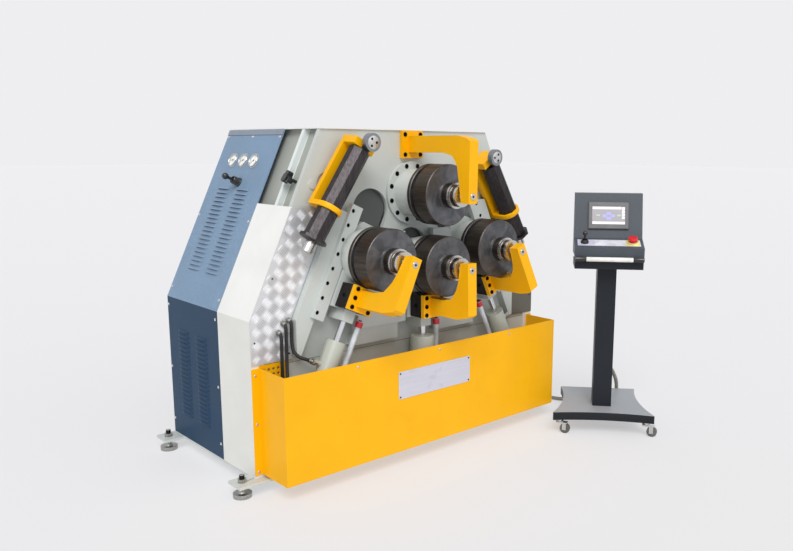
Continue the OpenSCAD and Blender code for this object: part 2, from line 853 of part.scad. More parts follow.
module lift_cylinders() {
  color("beige") for (i = [0 : 2]) barrel(i);
}

module position_sensors() {
  color("white")
  for (i = [0 : 2]) on_slide(i) translate([sensor_side[i] * sensor_x, sensor_y, sensor_top - sensor_len]) {
    cylinder(h = sensor_len, r = sensor_r);
    translate([0, 0, sensor_len - cap_h]) cylinder(h = cap_h, r = cap_r);
    box([-sensor_r, sensor_r], [0, plate_y - sensor_y], [0, 2 * sensor_r]);
  }
}

module hydraulic_hoses() {
  color("black") {
    tube(hose_a, hose_r, hose_sides);
    tube(hose_b, hose_r, hose_sides);
    tube(hose_c, hose_r, hose_sides);
  }
}

tongue_y = -40;
tongue_t = 10;
upper_lug = 32;
module octagon(r) {
  circle(r / cos(22.5), $fn = 8);
}
module guide_lug() {
  translate([0, 0, -lug_t]) linear_extrude(lug_t) difference() {
    union() {
      circle(lug_r);
      translate([-lug_r, 0]) square([2 * lug_r, spine_y]);
    }
    rotate(22.5) octagon(guide_r + slide_gap);
  }
}
module guide_bracket(drop) {
  on_guide(drop) {
    guide_lug();
    box([-lug_r, lug_r], [spine_y - spine_t, spine_y], [-lug_t, spine_len]);
    box([-lug_r, lug_r], [tongue_y + 2 * tongue_t, spine_y], [spine_len - upper_lug, spine_len]);
  }
  intersection() {
    on_guide(drop) box([0, guide_r], [spine_y - spine_t / 2, reach], [drop + upper_lug, spine_len]);
    box([-reach, 0], [-reach, plate_y], [0, 2 * reach]);
  }
}
module guide_brackets() {
  color("orange") {
    guide_bracket(0);
    mirror([1, 0, 0]) guide_bracket(guide_drop);
  }
}

module guide_bar(drop) {
  on_guide(drop) {
    translate([0, 0, over - guide_low]) linear_extrude(guide_top + guide_low - over) rotate(22.5)
      octagon(guide_r);
    translate([0, 0, -guide_low]) linear_extrude(end_t) rotate(22.5) octagon(end_r);
    translate([0, 0, -guide_low - stub_len]) cylinder(h = stub_len + over, r = stub_r);
    box([-gpin_r * 2, gpin_r * 2], [tongue_y + slide_gap, tongue_y + slide_gap + tongue_t],
      [guide_top - over, guide_top + groll_r + gpin_r * 2]);
    translate([0, 0, guide_top + groll_r + over])
      rod_y(gpin_r, [tongue_y - groll_w - slide_gap, tongue_y + tongue_t]);
  }
}
module guide_roller(drop) {
  on_guide(drop) translate([0, 0, guide_top + groll_r + over]) difference() {
    rod_y(groll_r, [tongue_y - groll_w, tongue_y]);
    rod_y(gpin_r + run_gap, [tongue_y - groll_w - over, tongue_y + over]);
  }
}
module left_guide_bar() {
  color("dimgray") guide_bar(0);
}
module right_guide_bar() {
  color("dimgray") mirror([1, 0, 0]) guide_bar(guide_drop);
}
module left_guide_roller() {
  color("silver") guide_roller(0);
}
module right_guide_roller() {
  color("silver") mirror([1, 0, 0]) guide_roller(guide_drop);
}

// bearing, tube and gearbox on a roll axis
module drive(front) {
  difference() {
    union() {
      rod_y(tube_r, [front, gear_front]);
      rod_y(gear_r, [gear_front, gear_y]);
      rod_y(motor_r, [gear_y, motor_y]);
    }
    rod_y(shaft_r + run_gap, [front - over, shaft_rear + over]);
  }
}

module top_bearing() {
  color("ivory")
  translate([0, 0, top_z]) difference() {
    union() {
      rod_y(bearing_r, [plate_y - bearing_t, plate_y]);
      rod_y(bearing_neck, [boss_y, plate_y]);
      drive(boss_y);
    }
    rod_y(shaft_r + run_gap, [boss_y - over, shaft_rear + over]);
    for (k = [0 : bearing_n - 1]) rotate([0, k * 360 / bearing_n + 15, 0]) translate([bearing_pcd, 0, 0])
      rod_y(bearing_hole, [plate_y - bearing_t - over, plate_y - bearing_t + recess_d]);
  }
}

// side view of an arm: depth and height from the roll axis, from its root on the flange
arm_bend = 55;
module arm_flat(root, drop) {
  low = arm_low - drop;
  leg = arm_leg - drop;
  polygon([[root, low], [arm_back + arm_half, low], [arm_y + arm_half / 2, low + arm_half / 2],
    [arm_y - over, low + arm_half], [arm_y, arm_end],
    [arm_back, arm_end - over / 2], [arm_back + arm_half / 2, -arm_bend],
    [arm_back + arm_half, leg + arm_bend], [arm_back + arm_bend, leg + arm_half / 2],
    [arm_back + 2 * arm_bend, leg], [root, leg]]);
}
module arm_body(root, drop) {
  translate([-arm_half, 0, 0]) rotate([90, 0, 90]) linear_extrude(2 * arm_half) arm_flat(root, drop);
}
module arm_seat() {
  rod_y(journal_r + run_gap, [journal_y - over, arm_back + 3 * over]);
}
module arm(i) {
  mid = (flange_low + flange_top) / 2;
  color("orange")
  on_slide(i) difference() {
    union() {
      arm_body(flange_y + over, 0);
      box([-flange_half, flange_half], [flange_y, flange_y + flange_t], [flange_low, flange_top]);
    }
    arm_seat();
    for (s = [-1, 1]) for (k = [-1 : 1]) translate([s * arm_px, 0, mid + k * arm_pz])
      rod_y(arm_screw_r, [flange_y - over, flange_y + arm_screw_d]);
  }
}
// root of the top arm: it reaches back to the front plate
module top_arm() {
  mid = top_flange_z - top_z;
  color("orange")
  translate([0, 0, top_z]) difference() {
    union() {
      mirror([0, 0, 1]) arm_body(plate_y - flange_t + over, top_reach);
      box([-flange_half, flange_half], [plate_y - flange_t, plate_y],
        [mid - top_flange_half, mid + top_flange_half]);
    }
    arm_seat();
    for (s = [-1, 1]) for (k = [-1, 1]) translate([s * arm_px, 0, mid + k * arm_px])
      rod_y(arm_screw_r, [plate_y - flange_t - over, plate_y - flange_t + arm_screw_d]);
  }
}
module left_arm() {
  arm(0);
}
module centre_arm() {
  arm(1);
}
module right_arm() {
  arm(2);
}

module arm_block(i) {
  color("black")
  on_slide(i) box([-flange_half, flange_half], [flange_y + flange_t, neck_y], [flange_low, flange_top]);
}
module left_arm_block() {
  arm_block(0);
}
module centre_arm_block() {
  arm_block(1);
}
module right_arm_block() {
  arm_block(2);
}

module carriage(i) {
  w = chan - slide_gap;
  knee = car_tops[i] - chan + car_tip;
  color("ivory")
  on_slide(i) difference() {
    union() {
      slab([bed_y + over + slide_gap, plate_y - slide_gap])
        polygon([[-w, car_low], [w, car_low], [w, knee],
          [car_tip, car_tops[i]], [-car_tip, car_tops[i]], [-w, knee]]);
      box([-neck_half, neck_half], [neck_y, bed_y + 2 * over], [car_low, knee]);
      rod_y(boss_r, [boss_y, neck_y + slide_gap]);
      box([-clevis_half, clevis_half], [clevis_y, plate_y - over], [clevis_low, car_low + over]);
      drive(neck_y);
    }
    rod_y(shaft_r + run_gap, [boss_y - over, shaft_rear + over]);
  }
}
module left_carriage() {
  carriage(0);
}
module centre_carriage() {
  carriage(1);
}
module right_carriage() {
  carriage(2);
}

module rod(i) {
  low = barrels[i] - head_t - stroke_up - piston_t;
  color("silver")
  on_slide(i) translate([0, barrel_y, low]) {
    cylinder(h = clevis_low - low, r = rod_rs[i]);
    cylinder(h = piston_t, r = cavity_rs[i] - run_gap);
  }
}
module left_rod() {
  rod(0);
}
module centre_rod() {
  rod(1);
}
module right_rod() {
  rod(2);
}

module shaft() {
  color("lightgray") {
    rod_y(shaft_r, [collar_y + over, shaft_rear]);
    rod_y(collar_r, [collar_y, roll_front]);
    rod_y(ring_r, [ring_y, collar_y + over]);
    rod_y(journal_r, [journal_y, ring_y + over]);
  }
}
module top_shaft() {
  translate([0, 0, top_z]) shaft();
}
module left_shaft() {
  on_slide(0) shaft();
}
module centre_shaft() {
  on_slide(1) shaft();
}
module right_shaft() {
  on_slide(2) shaft();
}

module roll() {
  groove_back = roll_rear - disc_t;
  groove_front = groove_back - groove_w;
  color("dimgray")
  rotate([90, 0, 0]) rotate_extrude() polygon([
    [shaft_r + run_gap, -roll_rear], [roll_r - roll_ch, -roll_rear], [roll_r, -roll_rear + roll_ch],
    [roll_r, -groove_back - roll_ch], [roll_r - roll_ch, -groove_back], [groove_r, -groove_back],
    [groove_r, -groove_front], [roll_r - roll_ch, -groove_front], [roll_r, -groove_front + roll_ch],
    [roll_r, -roll_front - roll_ch], [roll_r - roll_ch, -roll_front], [shaft_r + run_gap, -roll_front]]);
}
module top_roll() {
  translate([0, 0, top_z]) roll();
}
module left_roll() {
  on_slide(0) roll();
}
module centre_roll() {
  on_slide(1) roll();
}
module right_roll() {
  on_slide(2) roll();
}

tank_x = [-600, -60];
tank_z = 520;
tank_in = 262;
tank_y = frame_d - tank_in;
pump_r = 95;
pump_x = -420;
pump_h = 300;
block_x = [140, 420];
block_in = [232, 92];
block_y = [frame_d - block_in[0], frame_d - block_in[1]];
block_z = [420, 640];
module power_unit() {
  color("steelblue") {
    box(tank_x, [tank_y, foot_y_rear + bar_w / 4], [bar_top + beam_h, tank_z]);
    translate([pump_x, (tank_y + foot_y_rear) / 2, tank_z]) cylinder(h = pump_h, r = pump_r);
    box(block_x, block_y, [bar_top + beam_h, block_z[1]]);
  }
}

module valve_lever() {
  color("black")
  on_lean() translate([0, lever_y, lever_along]) rotate([0, -90, 0]) {
    translate([0, 0, lever_base]) cylinder(h = lever_len - lever_base, r = lever_r);
    translate([0, 0, lever_len]) sphere(lever_knob);
    translate([0, 0, lever_base]) rod_y(lever_r + sheet, [slide_gap - yoke_in, yoke_in - slide_gap]);
    translate([0, 0, lever_base]) rod_y(lever_pin, [-yoke_out, yoke_out]);
  }
}

clamp_y = 275;
clamp_drop = 226;
clamp_along = slope - clamp_drop;
clamp_out = 30;
lobes = 3;
hub_share = 0.5;
lobe_share = 0.4;
module clamp_knob() {
  color("black")
  on_lean() translate([0, clamp_y, clamp_along]) rotate([0, -90, 0]) {
    translate([0, 0, -web_in - 2 * sheet]) cylinder(h = web_in + 2 * sheet + over, r = lever_r);
    cylinder(h = clamp_out, r = clamp_r * hub_share);
    for (k = [0 : lobes - 1]) rotate(k * 360 / lobes) translate([clamp_r * (1 - lobe_share), 0, 0])
      cylinder(h = clamp_out - over, r = clamp_r * lobe_share);
  }
}

castor_rise = 21;
base_low = 2 * wheel_r + castor_rise;
waist_share = 0.7;
bow_share = 0.97;
module base_flat() {
  bow = base_front * bow_share;
  bow_r = bow * bow / (2 * base_sag) + base_sag / 2;
  difference() {
    polygon([[-base_front, 0], [base_front, 0], [base_rear, base_d], [-base_rear, base_d]]);
    for (s = [-1, 1]) translate([s * (base_waist + base_hollow), base_d * waist_share])
      circle(base_hollow, $fn = 128);
    translate([0, base_sag - bow_r]) circle(bow_r, $fn = 192);
  }
}
module console_base() {
  color("dimgray")
  on_console() difference() {
    translate([0, 0, base_low]) linear_extrude(base_t) base_flat();
    for (p = castor_pts) translate([p[0], p[1], base_low - over])
      cylinder(h = base_t, r = stem_r + run_gap);
  }
}

shelf_half = 163;
shelf_t = 36;
shelf_gap = 24;
shelf_in = 20;
module console_column() {
  floor_z = base_low + base_t;
  shelf_top = head_z - shelf_gap;
  front = head_pts[0][0];
  color("dimgray")
  on_console() {
    difference() {
      box([-col_half, col_half], [col_y, col_y + col_d], [floor_z, shelf_top - shelf_t]);
      box([-col_half + col_wall, col_half - col_wall], [col_y + col_wall, col_y + col_d - col_wall],
        [floor_z + col_wall, shelf_top - shelf_t - col_wall]);
    }
    box([-shelf_half, shelf_half], [front, col_y + col_d], [shelf_top - shelf_t, shelf_top]);
    box([-shelf_half + shelf_in, shelf_half - shelf_in], [front + shelf_in, col_y + col_d - shelf_in],
      [shelf_top, head_z]);
    translate([0, col_y + col_d, cable_pts[0][2]]) rotate([-90, 0, 0]) gland();
  }
}

stop_x = 113;
stick_x = -116;
desk_mid = 58;
boot_r = 18;
boot_h = 9;
stick_r = 6;
stick_pin = 3;
module console_head() {
  color("dimgray")
  on_console() difference() {
    union() {
      translate([-head_half, 0, head_z]) rotate([90, 0, 90]) linear_extrude(2 * head_half) polygon(head_pts);
      on_desk() translate([stop_x, desk_mid, -over]) cylinder(h = boot_h + over, r = stop_base);
      on_desk() translate([stick_x, desk_mid, -over]) cylinder(h = boot_h + over, r = boot_r);
    }
    on_desk() translate([stop_x, desk_mid, -2 * stop_h]) cylinder(h = reach, r = stop_r / 2 + run_gap);
    on_desk() translate([stick_x, desk_mid, -boot_h]) cylinder(h = reach, r = boot_r - sheet);
    on_desk() translate([stick_x, desk_mid, boot_h / 2]) rotate([0, 90, 0])
      cylinder(h = 2 * boot_r, r = stick_pin + run_gap, center = true);
  }
}

module console_screen() {
  drop = (norm(head_pts[3] - head_pts[2]) - screen_h) / 2;
  color("black")
  on_console() on_screen() box([-screen_half, screen_half], [drop, drop + screen_h], [0, screen_t]);
}

handle_y = 14;
handle_z = -9;
post_half = 135;
module console_handle() {
  color("whitesmoke")
  on_console() translate([0, 0, head_z + handle_z]) {
    translate([-handle_half, handle_y, 0]) rotate([0, 90, 0]) cylinder(h = 2 * handle_half, r = handle_r);
    for (s = [-1, 1]) translate([s * post_half, 0, 0])
      box([-handle_r, handle_r], [handle_y, head_pts[0][0] + shelf_in], [-handle_r / 2, handle_r / 2]);
  }
}

module console_cable() {
  color("gray") tube(cable_pts, cable_r, hose_sides);
}

module joystick() {
  color("black")
  on_console() on_desk() translate([stick_x, desk_mid, 0]) {
    cylinder(h = stick_len, r = stick_r);
    translate([0, 0, stick_len]) sphere(stick_ball);
    translate([0, 0, boot_h / 2]) rotate([0, 90, 0])
      cylinder(h = 2 * boot_r - sheet, r = stick_pin, center = true);
  }
}

module stop_button() {
  color("red")
  on_console() on_desk() translate([stop_x, desk_mid, 0]) {
    translate([0, 0, boot_h + over]) cylinder(h = stop_h, r = stop_r);
    translate([0, 0, -stop_h]) cylinder(h = stop_h + boot_h + 2 * over, r = stop_r / 2);
  }
}

cheek = 3;
crown_share = 0.8;
fork_gap = 2;
axle_r = 4;
neck_top = 8;
module castor(i) {
  on_console() translate([castor_pts[i][0], castor_pts[i][1], 0]) rotate(castor_turn) children();
}
module fork(i) {
  out = wheel_half + fork_gap;
  crown = 2 * wheel_r + fork_gap;
  color("silver") castor(i) {
    translate([0, 0, crown]) cylinder(h = neck_top, r = wheel_r * crown_share);
    translate([0, 0, crown]) cylinder(h = base_low + base_t / 2 - crown, r = stem_r);
    translate([0, 0, crown]) cylinder(h = base_low - fork_gap / 2 - crown, r = 2 * stem_r);
    box([-out - cheek, out + cheek], [-trail - 3 * axle_r, 0], [crown, crown + neck_top / 2]);
    for (s = [-1, 1]) translate([s * (out + cheek / 2), 0, 0])
      box([-cheek / 2, cheek / 2], [-trail - 2 * axle_r, -trail + 3 * axle_r],
        [wheel_r - 2 * axle_r, crown + neck_top / 4]);
    translate([-out - cheek / 2, -trail, wheel_r]) rotate([0, 90, 0])
      cylinder(h = 2 * out + cheek, r = axle_r);
  }
}
module wheel(i) {
  color("black") castor(i) translate([0, -trail, wheel_r]) rotate([0, 90, 0]) difference() {
    cylinder(h = 2 * wheel_half, r = wheel_r, center = true);
    cylinder(h = 2 * wheel_half + over, r = axle_r + run_gap, center = true);
  }
}
module fork_1() {
  fork(0);
}
module fork_2() {
  fork(1);
}
module fork_3() {
  fork(2);
}
module fork_4() {
  fork(3);
}
module wheel_1() {
  wheel(0);
}
module wheel_2() {
  wheel(1);
}
module wheel_3() {
  wheel(2);
}
module wheel_4() {
  wheel(3);
}

place() base_frame();
place() levelling_feet();
place() front_plate();
place() rib_plate();
place() slide_ways();
place() frame_covers();
place() tread_plates();
place() rear_panel();
place() cabinet_panels();
place() front_tray();
place() panel_instruments();
place() lift_cylinders();
place() position_sensors();
place() hydraulic_hoses();
place() guide_brackets();
place() top_bearing();
place() top_arm();
place() power_unit();
place() valve_lever();
place() clamp_knob();
place() left_guide_bar();
place() right_guide_bar();
place() left_guide_roller();
place() right_guide_roller();
place() top_shaft();
place() top_roll();
place() left_carriage();
place() centre_carriage();
place() right_carriage();
place() left_arm_block();
place() centre_arm_block();
place() right_arm_block();
place() left_arm();
place() centre_arm();
place() right_arm();
place() left_rod();
place() centre_rod();
place() right_rod();
place() left_shaft();
place() centre_shaft();
place() right_shaft();
place() left_roll();
place() centre_roll();
place() right_roll();
place() console_base();
place() console_column();
place() console_head();
place() console_screen();
place() console_handle();
place() console_cable();
place() joystick();
place() stop_button();
place() fork_1();
place() fork_2();
place() fork_3();
place() fork_4();
place() wheel_1();
place() wheel_2();
place() wheel_3();
place() wheel_4();
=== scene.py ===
"""Angle roll bender: finishes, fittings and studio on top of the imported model."""
import json
import math

import bmesh
import bpy
from mathutils import Matrix, Vector


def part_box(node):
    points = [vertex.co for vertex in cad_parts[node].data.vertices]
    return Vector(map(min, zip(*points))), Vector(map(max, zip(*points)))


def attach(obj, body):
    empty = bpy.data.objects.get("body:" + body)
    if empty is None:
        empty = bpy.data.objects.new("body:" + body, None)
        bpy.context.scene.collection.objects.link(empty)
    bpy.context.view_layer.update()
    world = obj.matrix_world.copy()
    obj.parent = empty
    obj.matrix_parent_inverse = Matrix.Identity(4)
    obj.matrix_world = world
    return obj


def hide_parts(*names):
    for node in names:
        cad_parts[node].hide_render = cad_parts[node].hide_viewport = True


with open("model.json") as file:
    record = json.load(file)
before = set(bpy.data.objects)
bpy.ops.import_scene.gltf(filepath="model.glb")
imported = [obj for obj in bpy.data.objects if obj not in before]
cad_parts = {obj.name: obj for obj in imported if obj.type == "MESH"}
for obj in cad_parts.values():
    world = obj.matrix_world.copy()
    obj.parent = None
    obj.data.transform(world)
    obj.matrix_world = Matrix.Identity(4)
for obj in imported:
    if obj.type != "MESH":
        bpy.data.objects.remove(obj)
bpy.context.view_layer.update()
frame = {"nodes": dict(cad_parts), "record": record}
nodes = frame["nodes"]

# Machine frame: millimetres, X from the middle plane, Y from the tray's front, Z from the floor.
MM = 0.001
tray_low, tray_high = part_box("front_tray")
ORIGIN = Vector(((tray_low.x + tray_high.x) / 2, tray_low.y, 0))
MACHINE = Matrix.Translation(ORIGIN) @ Matrix.Scale(MM, 4)

# Sizes that the fittings share with the solids, in millimetres
HALF, FOLD_Z, LEAN, FRAME_D = 833, 715, 25, 952
CAB_Y, LIP_Y, SHEET = 462, 193, 4
ROLL_X, SIDE_Z, LOW_Z, TOP_Z = 315, 937, 883, 1194
CONSOLE_X, CONSOLE_Y, CONSOLE_TURN, HEAD_Z = 760, -364, 49.2, 885
SIDES = ("left", "centre", "right")


def turn(axis, degrees):
    """Rotation about one axis."""
    return Matrix.Rotation(math.radians(degrees), 4, axis)


def move(x, y, z):
    """Shift in millimetres."""
    return Matrix.Translation((x, y, z))


# Frames of the leaning end, of the slides and of the console, all in millimetres
MIRROR = Matrix.Scale(-1, 4, (1, 0, 0))
ENDS = {"left": Matrix.Identity(4), "right": MIRROR}
LEAN_END = move(-HALF, 0, FOLD_Z) @ turn("Y", LEAN)
FACE_FRONT = turn("X", 90)  # Z of a form points to the front
SLIDE = {
    "left": move(-ROLL_X, 0, SIDE_Z) @ turn("Y", LEAN),
    "centre": move(0, 0, LOW_Z),
    "right": move(ROLL_X, 0, SIDE_Z) @ turn("Y", -LEAN),
}
CONSOLE = move(CONSOLE_X, CONSOLE_Y, 0) @ turn("Z", -CONSOLE_TURN)
DESK_LOW, DESK_HIGH, SCREEN_TOP = (40, 43), (150, 78), (212, 293)
DESK_TILT = math.degrees(math.atan2(DESK_HIGH[1] - DESK_LOW[1], DESK_HIGH[0] - DESK_LOW[0]))
SCREEN_TILT = math.degrees(math.atan2(SCREEN_TOP[1] - DESK_HIGH[1], SCREEN_TOP[0] - DESK_HIGH[0]))
DESK = CONSOLE @ move(0, DESK_LOW[0], HEAD_Z + DESK_LOW[1]) @ turn("X", DESK_TILT)
SCREEN = CONSOLE @ move(0, DESK_HIGH[0], HEAD_Z + DESK_HIGH[1]) @ turn("X", SCREEN_TILT)


# Camera, from the straight edges in the photograph
PHOTO_W, PHOTO_H = 793, 551
FOCAL_PX, CENTRE_PX = 791.8, (453.78, 292.17)
CAMERA_PLACE = (-2322, -2576, 1394.6)
YAW, PITCH, ROLL = 43.09, 10.33, 0.36
FILM_W = 36


def make_camera():
    data = bpy.data.cameras.new("photo_camera")
    data.sensor_fit = "HORIZONTAL"
    data.sensor_width = FILM_W
    data.lens = FOCAL_PX / PHOTO_W * FILM_W
    data.shift_x = (PHOTO_W / 2 - CENTRE_PX[0]) / PHOTO_W
    data.shift_y = (CENTRE_PX[1] - PHOTO_H / 2) / PHOTO_W
    camera = bpy.data.objects.new("photo_camera", data)
    bpy.context.scene.collection.objects.link(camera)
    camera.matrix_world = (
        Matrix.Translation(MACHINE @ Vector(CAMERA_PLACE))
        @ turn("Z", -YAW) @ turn("X", 90 - PITCH) @ turn("Z", ROLL)
    )
    bpy.context.scene.camera = camera


make_camera()


# Materials

def linear(r, g, b):
    """Scene colour of an 8-bit screen colour."""
    def one(c):
        c /= 255
        return c / 12.92 if c <= 0.04045 else ((c + 0.055) / 1.055) ** 2.4
    return one(r), one(g), one(b), 1.0


class Finish:
    """Material whose pattern follows the piece's own coordinates, in metres."""

    def __init__(self, name, color, roughness, metallic=0.0, **sockets):
        self.material = bpy.data.materials.new(name)
        self.material.use_nodes = True
        self.tree = self.material.node_tree
        self.shader = self.tree.nodes["Principled BSDF"]
        self.set("Base Color", color)
        self.set("Roughness", roughness)
        self.set("Metallic", metallic)
        for socket, value in sockets.items():
            self.set(socket.replace("_", " "), value)
        self.place = self.node("ShaderNodeTexCoord").outputs["Object"]

    def set(self, socket, value):
        """Fixed value of one shader input."""
        self.shader.inputs[socket].default_value = value

    def node(self, kind, **settings):
        made = self.tree.nodes.new(kind)
        for key, value in settings.items():
            setattr(made, key, value)
        return made

    def link(self, source, target):
        self.tree.links.new(source, target)

    def noise(self, scale, detail=3.0, stretch=None, distortion=0.0):
        """Noise of about 1 / scale metres, stretched along an axis if asked."""
        source = self.place
        if stretch:
            mapping = self.node("ShaderNodeMapping")
            mapping.inputs["Scale"].default_value = stretch
            self.link(source, mapping.inputs["Vector"])
            source = mapping.outputs["Vector"]
        made = self.node("ShaderNodeTexNoise")
        made.inputs["Scale"].default_value = scale
        made.inputs["Detail"].default_value = detail
        made.inputs["Distortion"].default_value = distortion
        self.link(source, made.inputs["Vector"])
        return made.outputs["Fac"]

    def ramp(self, source, *stops):
        """Colour ramp over (position, colour or grey) stops."""
        made = self.node("ShaderNodeValToRGB")
        points = made.color_ramp.elements
        while len(points) < len(stops):
            points.new(0.5)
        for point, (position, value) in zip(points, stops):
            point.position = position
            point.color = value if isinstance(value, tuple) else (value, value, value, 1)
        self.link(source, made.inputs["Fac"])
        return made.outputs["Color"]

    def math(self, operation, a, b):
        made = self.node("ShaderNodeMath", operation=operation)
        for socket, value in zip(made.inputs, (a, b)):
            if isinstance(value, (int, float)):
                socket.default_value = value
            else:
                self.link(value, socket)
        return made.outputs[0]

    def mix(self, share, a, b, blend="MIX"):
        """Colour between a and b by share."""
        made = self.node("ShaderNodeMix", data_type="RGBA", blend_type=blend)
        for index, value in ((0, share), (6, a), (7, b)):
            if isinstance(value, (int, float, tuple)):
                made.inputs[index].default_value = value
            else:
                self.link(value, made.inputs[index])
        return made.outputs[2]

    def along(self, axis):
        """One coordinate of the piece, in metres."""
        split = self.node("ShaderNodeSeparateXYZ")
        self.link(self.place, split.inputs[0])
        return split.outputs[axis]

    def shown(self):
        """Colour that the shader takes so far."""
        return self.shader.inputs["Base Color"].links[0].from_socket

    def colour(self, source):
        self.link(source, self.shader.inputs["Base Color"])

    def rough(self, source, low, high):
        """Roughness between two values over the source's range."""
        made = self.node("ShaderNodeMapRange")
        made.inputs["To Min"].default_value = low
        made.inputs["To Max"].default_value = high
        self.link(source, made.inputs["Value"])
        self.link(made.outputs[0], self.shader.inputs["Roughness"])

    def bump(self, source, strength, depth):
        """Relief, its depth in metres."""
        made = self.node("ShaderNodeBump")
        made.inputs["Strength"].default_value = strength
        made.inputs["Distance"].default_value = depth
        self.link(source, made.inputs["Height"])
        self.link(made.outputs["Normal"], self.shader.inputs["Normal"])


def shade(color, share):
    return tuple(c * share for c in color[:3]) + (1.0,)


def paint(name, color, roughness, dirt=0.82, peel=0.25, coat=0.0):
    """Sprayed paint: faint drift of tone, scuffs and orange peel."""
    finish = Finish(name, color, roughness, Coat_Weight=coat, Coat_Roughness=0.12)
    drift = finish.noise(5, 4)
    scuff = finish.ramp(finish.noise(42, 8, distortion=0.6), (0.66, 0.0), (0.78, 1.0))
    toned = finish.mix(finish.ramp(drift, (0.35, 0.0), (0.7, 1.0)), color, shade(color, 0.93))
    scuff_share = finish.math("MULTIPLY", scuff, 0.35)
    finish.colour(finish.mix(scuff_share, toned, shade(color, dirt)))
    finish.rough(drift, roughness - 0.06, roughness + 0.1)
    finish.bump(finish.noise(420, 2), peel, 0.0004)
    return finish


def powder_coat(name, color, sparkle):
    """Textured powder coat with a fine light grain."""
    finish = Finish(name, color, 0.46, Specular_IOR_Level=0.28)
    grain = finish.noise(900, 2)
    cloud = finish.noise(7, 4)
    speck = finish.ramp(grain, (0.42, 0.0), (0.72, 1.0))
    toned = finish.mix(finish.ramp(cloud, (0.3, 0.0), (0.75, 1.0)), color, shade(color, 1.25))
    finish.colour(finish.mix(speck, toned, sparkle))
    finish.rough(cloud, 0.36, 0.52)
    finish.bump(grain, 0.35, 0.0006)
    return finish


def brushed(name, color, roughness, stretch=(1, 1, 1), contrast=0.75, metallic=1.0):
    """Ground or brushed metal with fine lines along one axis."""
    finish = Finish(name, color, roughness, metallic)
    lines = finish.noise(160, 6, stretch=stretch)
    stain = finish.noise(14, 5, distortion=0.8)
    toned = finish.mix(finish.ramp(lines, (0.3, 0.0), (0.7, 1.0)), color, shade(color, contrast))
    finish.colour(finish.mix(finish.ramp(stain, (0.55, 0.0), (0.8, 0.5)), toned, shade(color, 0.6)))
    finish.rough(lines, roughness - 0.07, roughness + 0.1)
    finish.bump(lines, 0.12, 0.0003)
    return finish


def roll_steel(name, node):
    """Dark turned steel: rings about the roll's axis, heat tint and a streaked brown band at the rim."""
    low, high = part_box(node)
    centre = (low + high) / 2
    rim = (high.x - low.x) / 2
    face, side = linear(118, 119, 123), linear(94, 84, 76)
    finish = Finish(name, face, 0.42, 0.85)
    flat = finish.node("ShaderNodeMapping")
    flat.inputs["Location"].default_value = (-centre.x, 0, -centre.z)
    flat.inputs["Scale"].default_value = (1, 0, 1)
    finish.link(finish.place, flat.inputs["Vector"])
    length = finish.node("ShaderNodeVectorMath", operation="LENGTH")
    finish.link(flat.outputs["Vector"], length.inputs[0])
    radius = length.outputs["Value"]
    rings = finish.node("ShaderNodeTexNoise", noise_dimensions="1D")
    rings.inputs["Scale"].default_value = 700
    finish.link(radius, rings.inputs["W"])
    cloud = finish.noise(16, 6, distortion=1.2)
    streak = finish.noise(120, 4, stretch=(1, 0.06, 1))
    on_rim = finish.ramp(radius, (0.0, 0.0), (rim - 0.004, 0.0), (rim - 0.0025, 1.0))
    tint = finish.mix(finish.ramp(cloud, (0.35, 0.0), (0.68, 1.0)), shade(face, 0.5), face)
    turned = finish.mix(finish.math("MULTIPLY", rings.outputs["Fac"], 0.35), tint, shade(face, 0.5))
    worn = finish.mix(finish.ramp(streak, (0.35, 0.0), (0.7, 1.0)), shade(side, 0.55), side)
    finish.colour(finish.mix(on_rim, turned, worn))
    finish.rough(cloud, 0.34, 0.52)
    finish.bump(rings.outputs["Fac"], 0.2, 0.0004)
    return finish


def moulded(name, color, roughness, grain=600, coat=0.0):
    """Moulded plastic or rubber with a fine grain."""
    finish = Finish(name, color, roughness, Coat_Weight=coat, Coat_Roughness=0.1)
    pores = finish.noise(grain, 3)
    drift = finish.noise(25, 4)
    finish.colour(finish.mix(finish.ramp(drift, (0.35, 0.0), (0.7, 1.0)), color, shade(color, 1.35)))
    finish.rough(drift, roughness - 0.06, roughness + 0.08)
    finish.bump(pores, 0.15, 0.0003)
    return finish


def seamed(finish, height, color):
    """Dark joint line along one height."""
    off = finish.math("ABSOLUTE", finish.math("SUBTRACT", finish.along("Z"), height), 0)
    line = finish.math("LESS_THAN", off, SEAM_HALF)
    finish.colour(finish.mix(line, finish.shown(), color))
    return finish


def beyond(finish, axis, value):
    """1 where a coordinate of the piece exceeds a value in metres."""
    return finish.math("GREATER_THAN", finish.along(axis), value)


def split_painted_light(finish, axis, value, below, above):
    """Multiplies the colour by one factor below a plane and another beyond it: painted light and shade on
    either side.
    """
    tone = finish.mix(beyond(finish, axis, value), below, above)
    finish.colour(finish.mix(1.0, finish.shown(), tone, "MULTIPLY"))
    return finish


def capped(finish, axis, value, color, speck):
    """Gives the part beyond a coordinate another speckled colour."""
    grain = finish.ramp(finish.noise(500, 2), (0.42, 0.0), (0.66, 1.0))
    own = finish.mix(grain, color, speck)
    finish.colour(finish.mix(beyond(finish, axis, value), finish.shown(), own))
    return finish


SHAFT_FROM, SHAFT_SPAN = -200, 150  # stretch of Y that the rims' tones run over


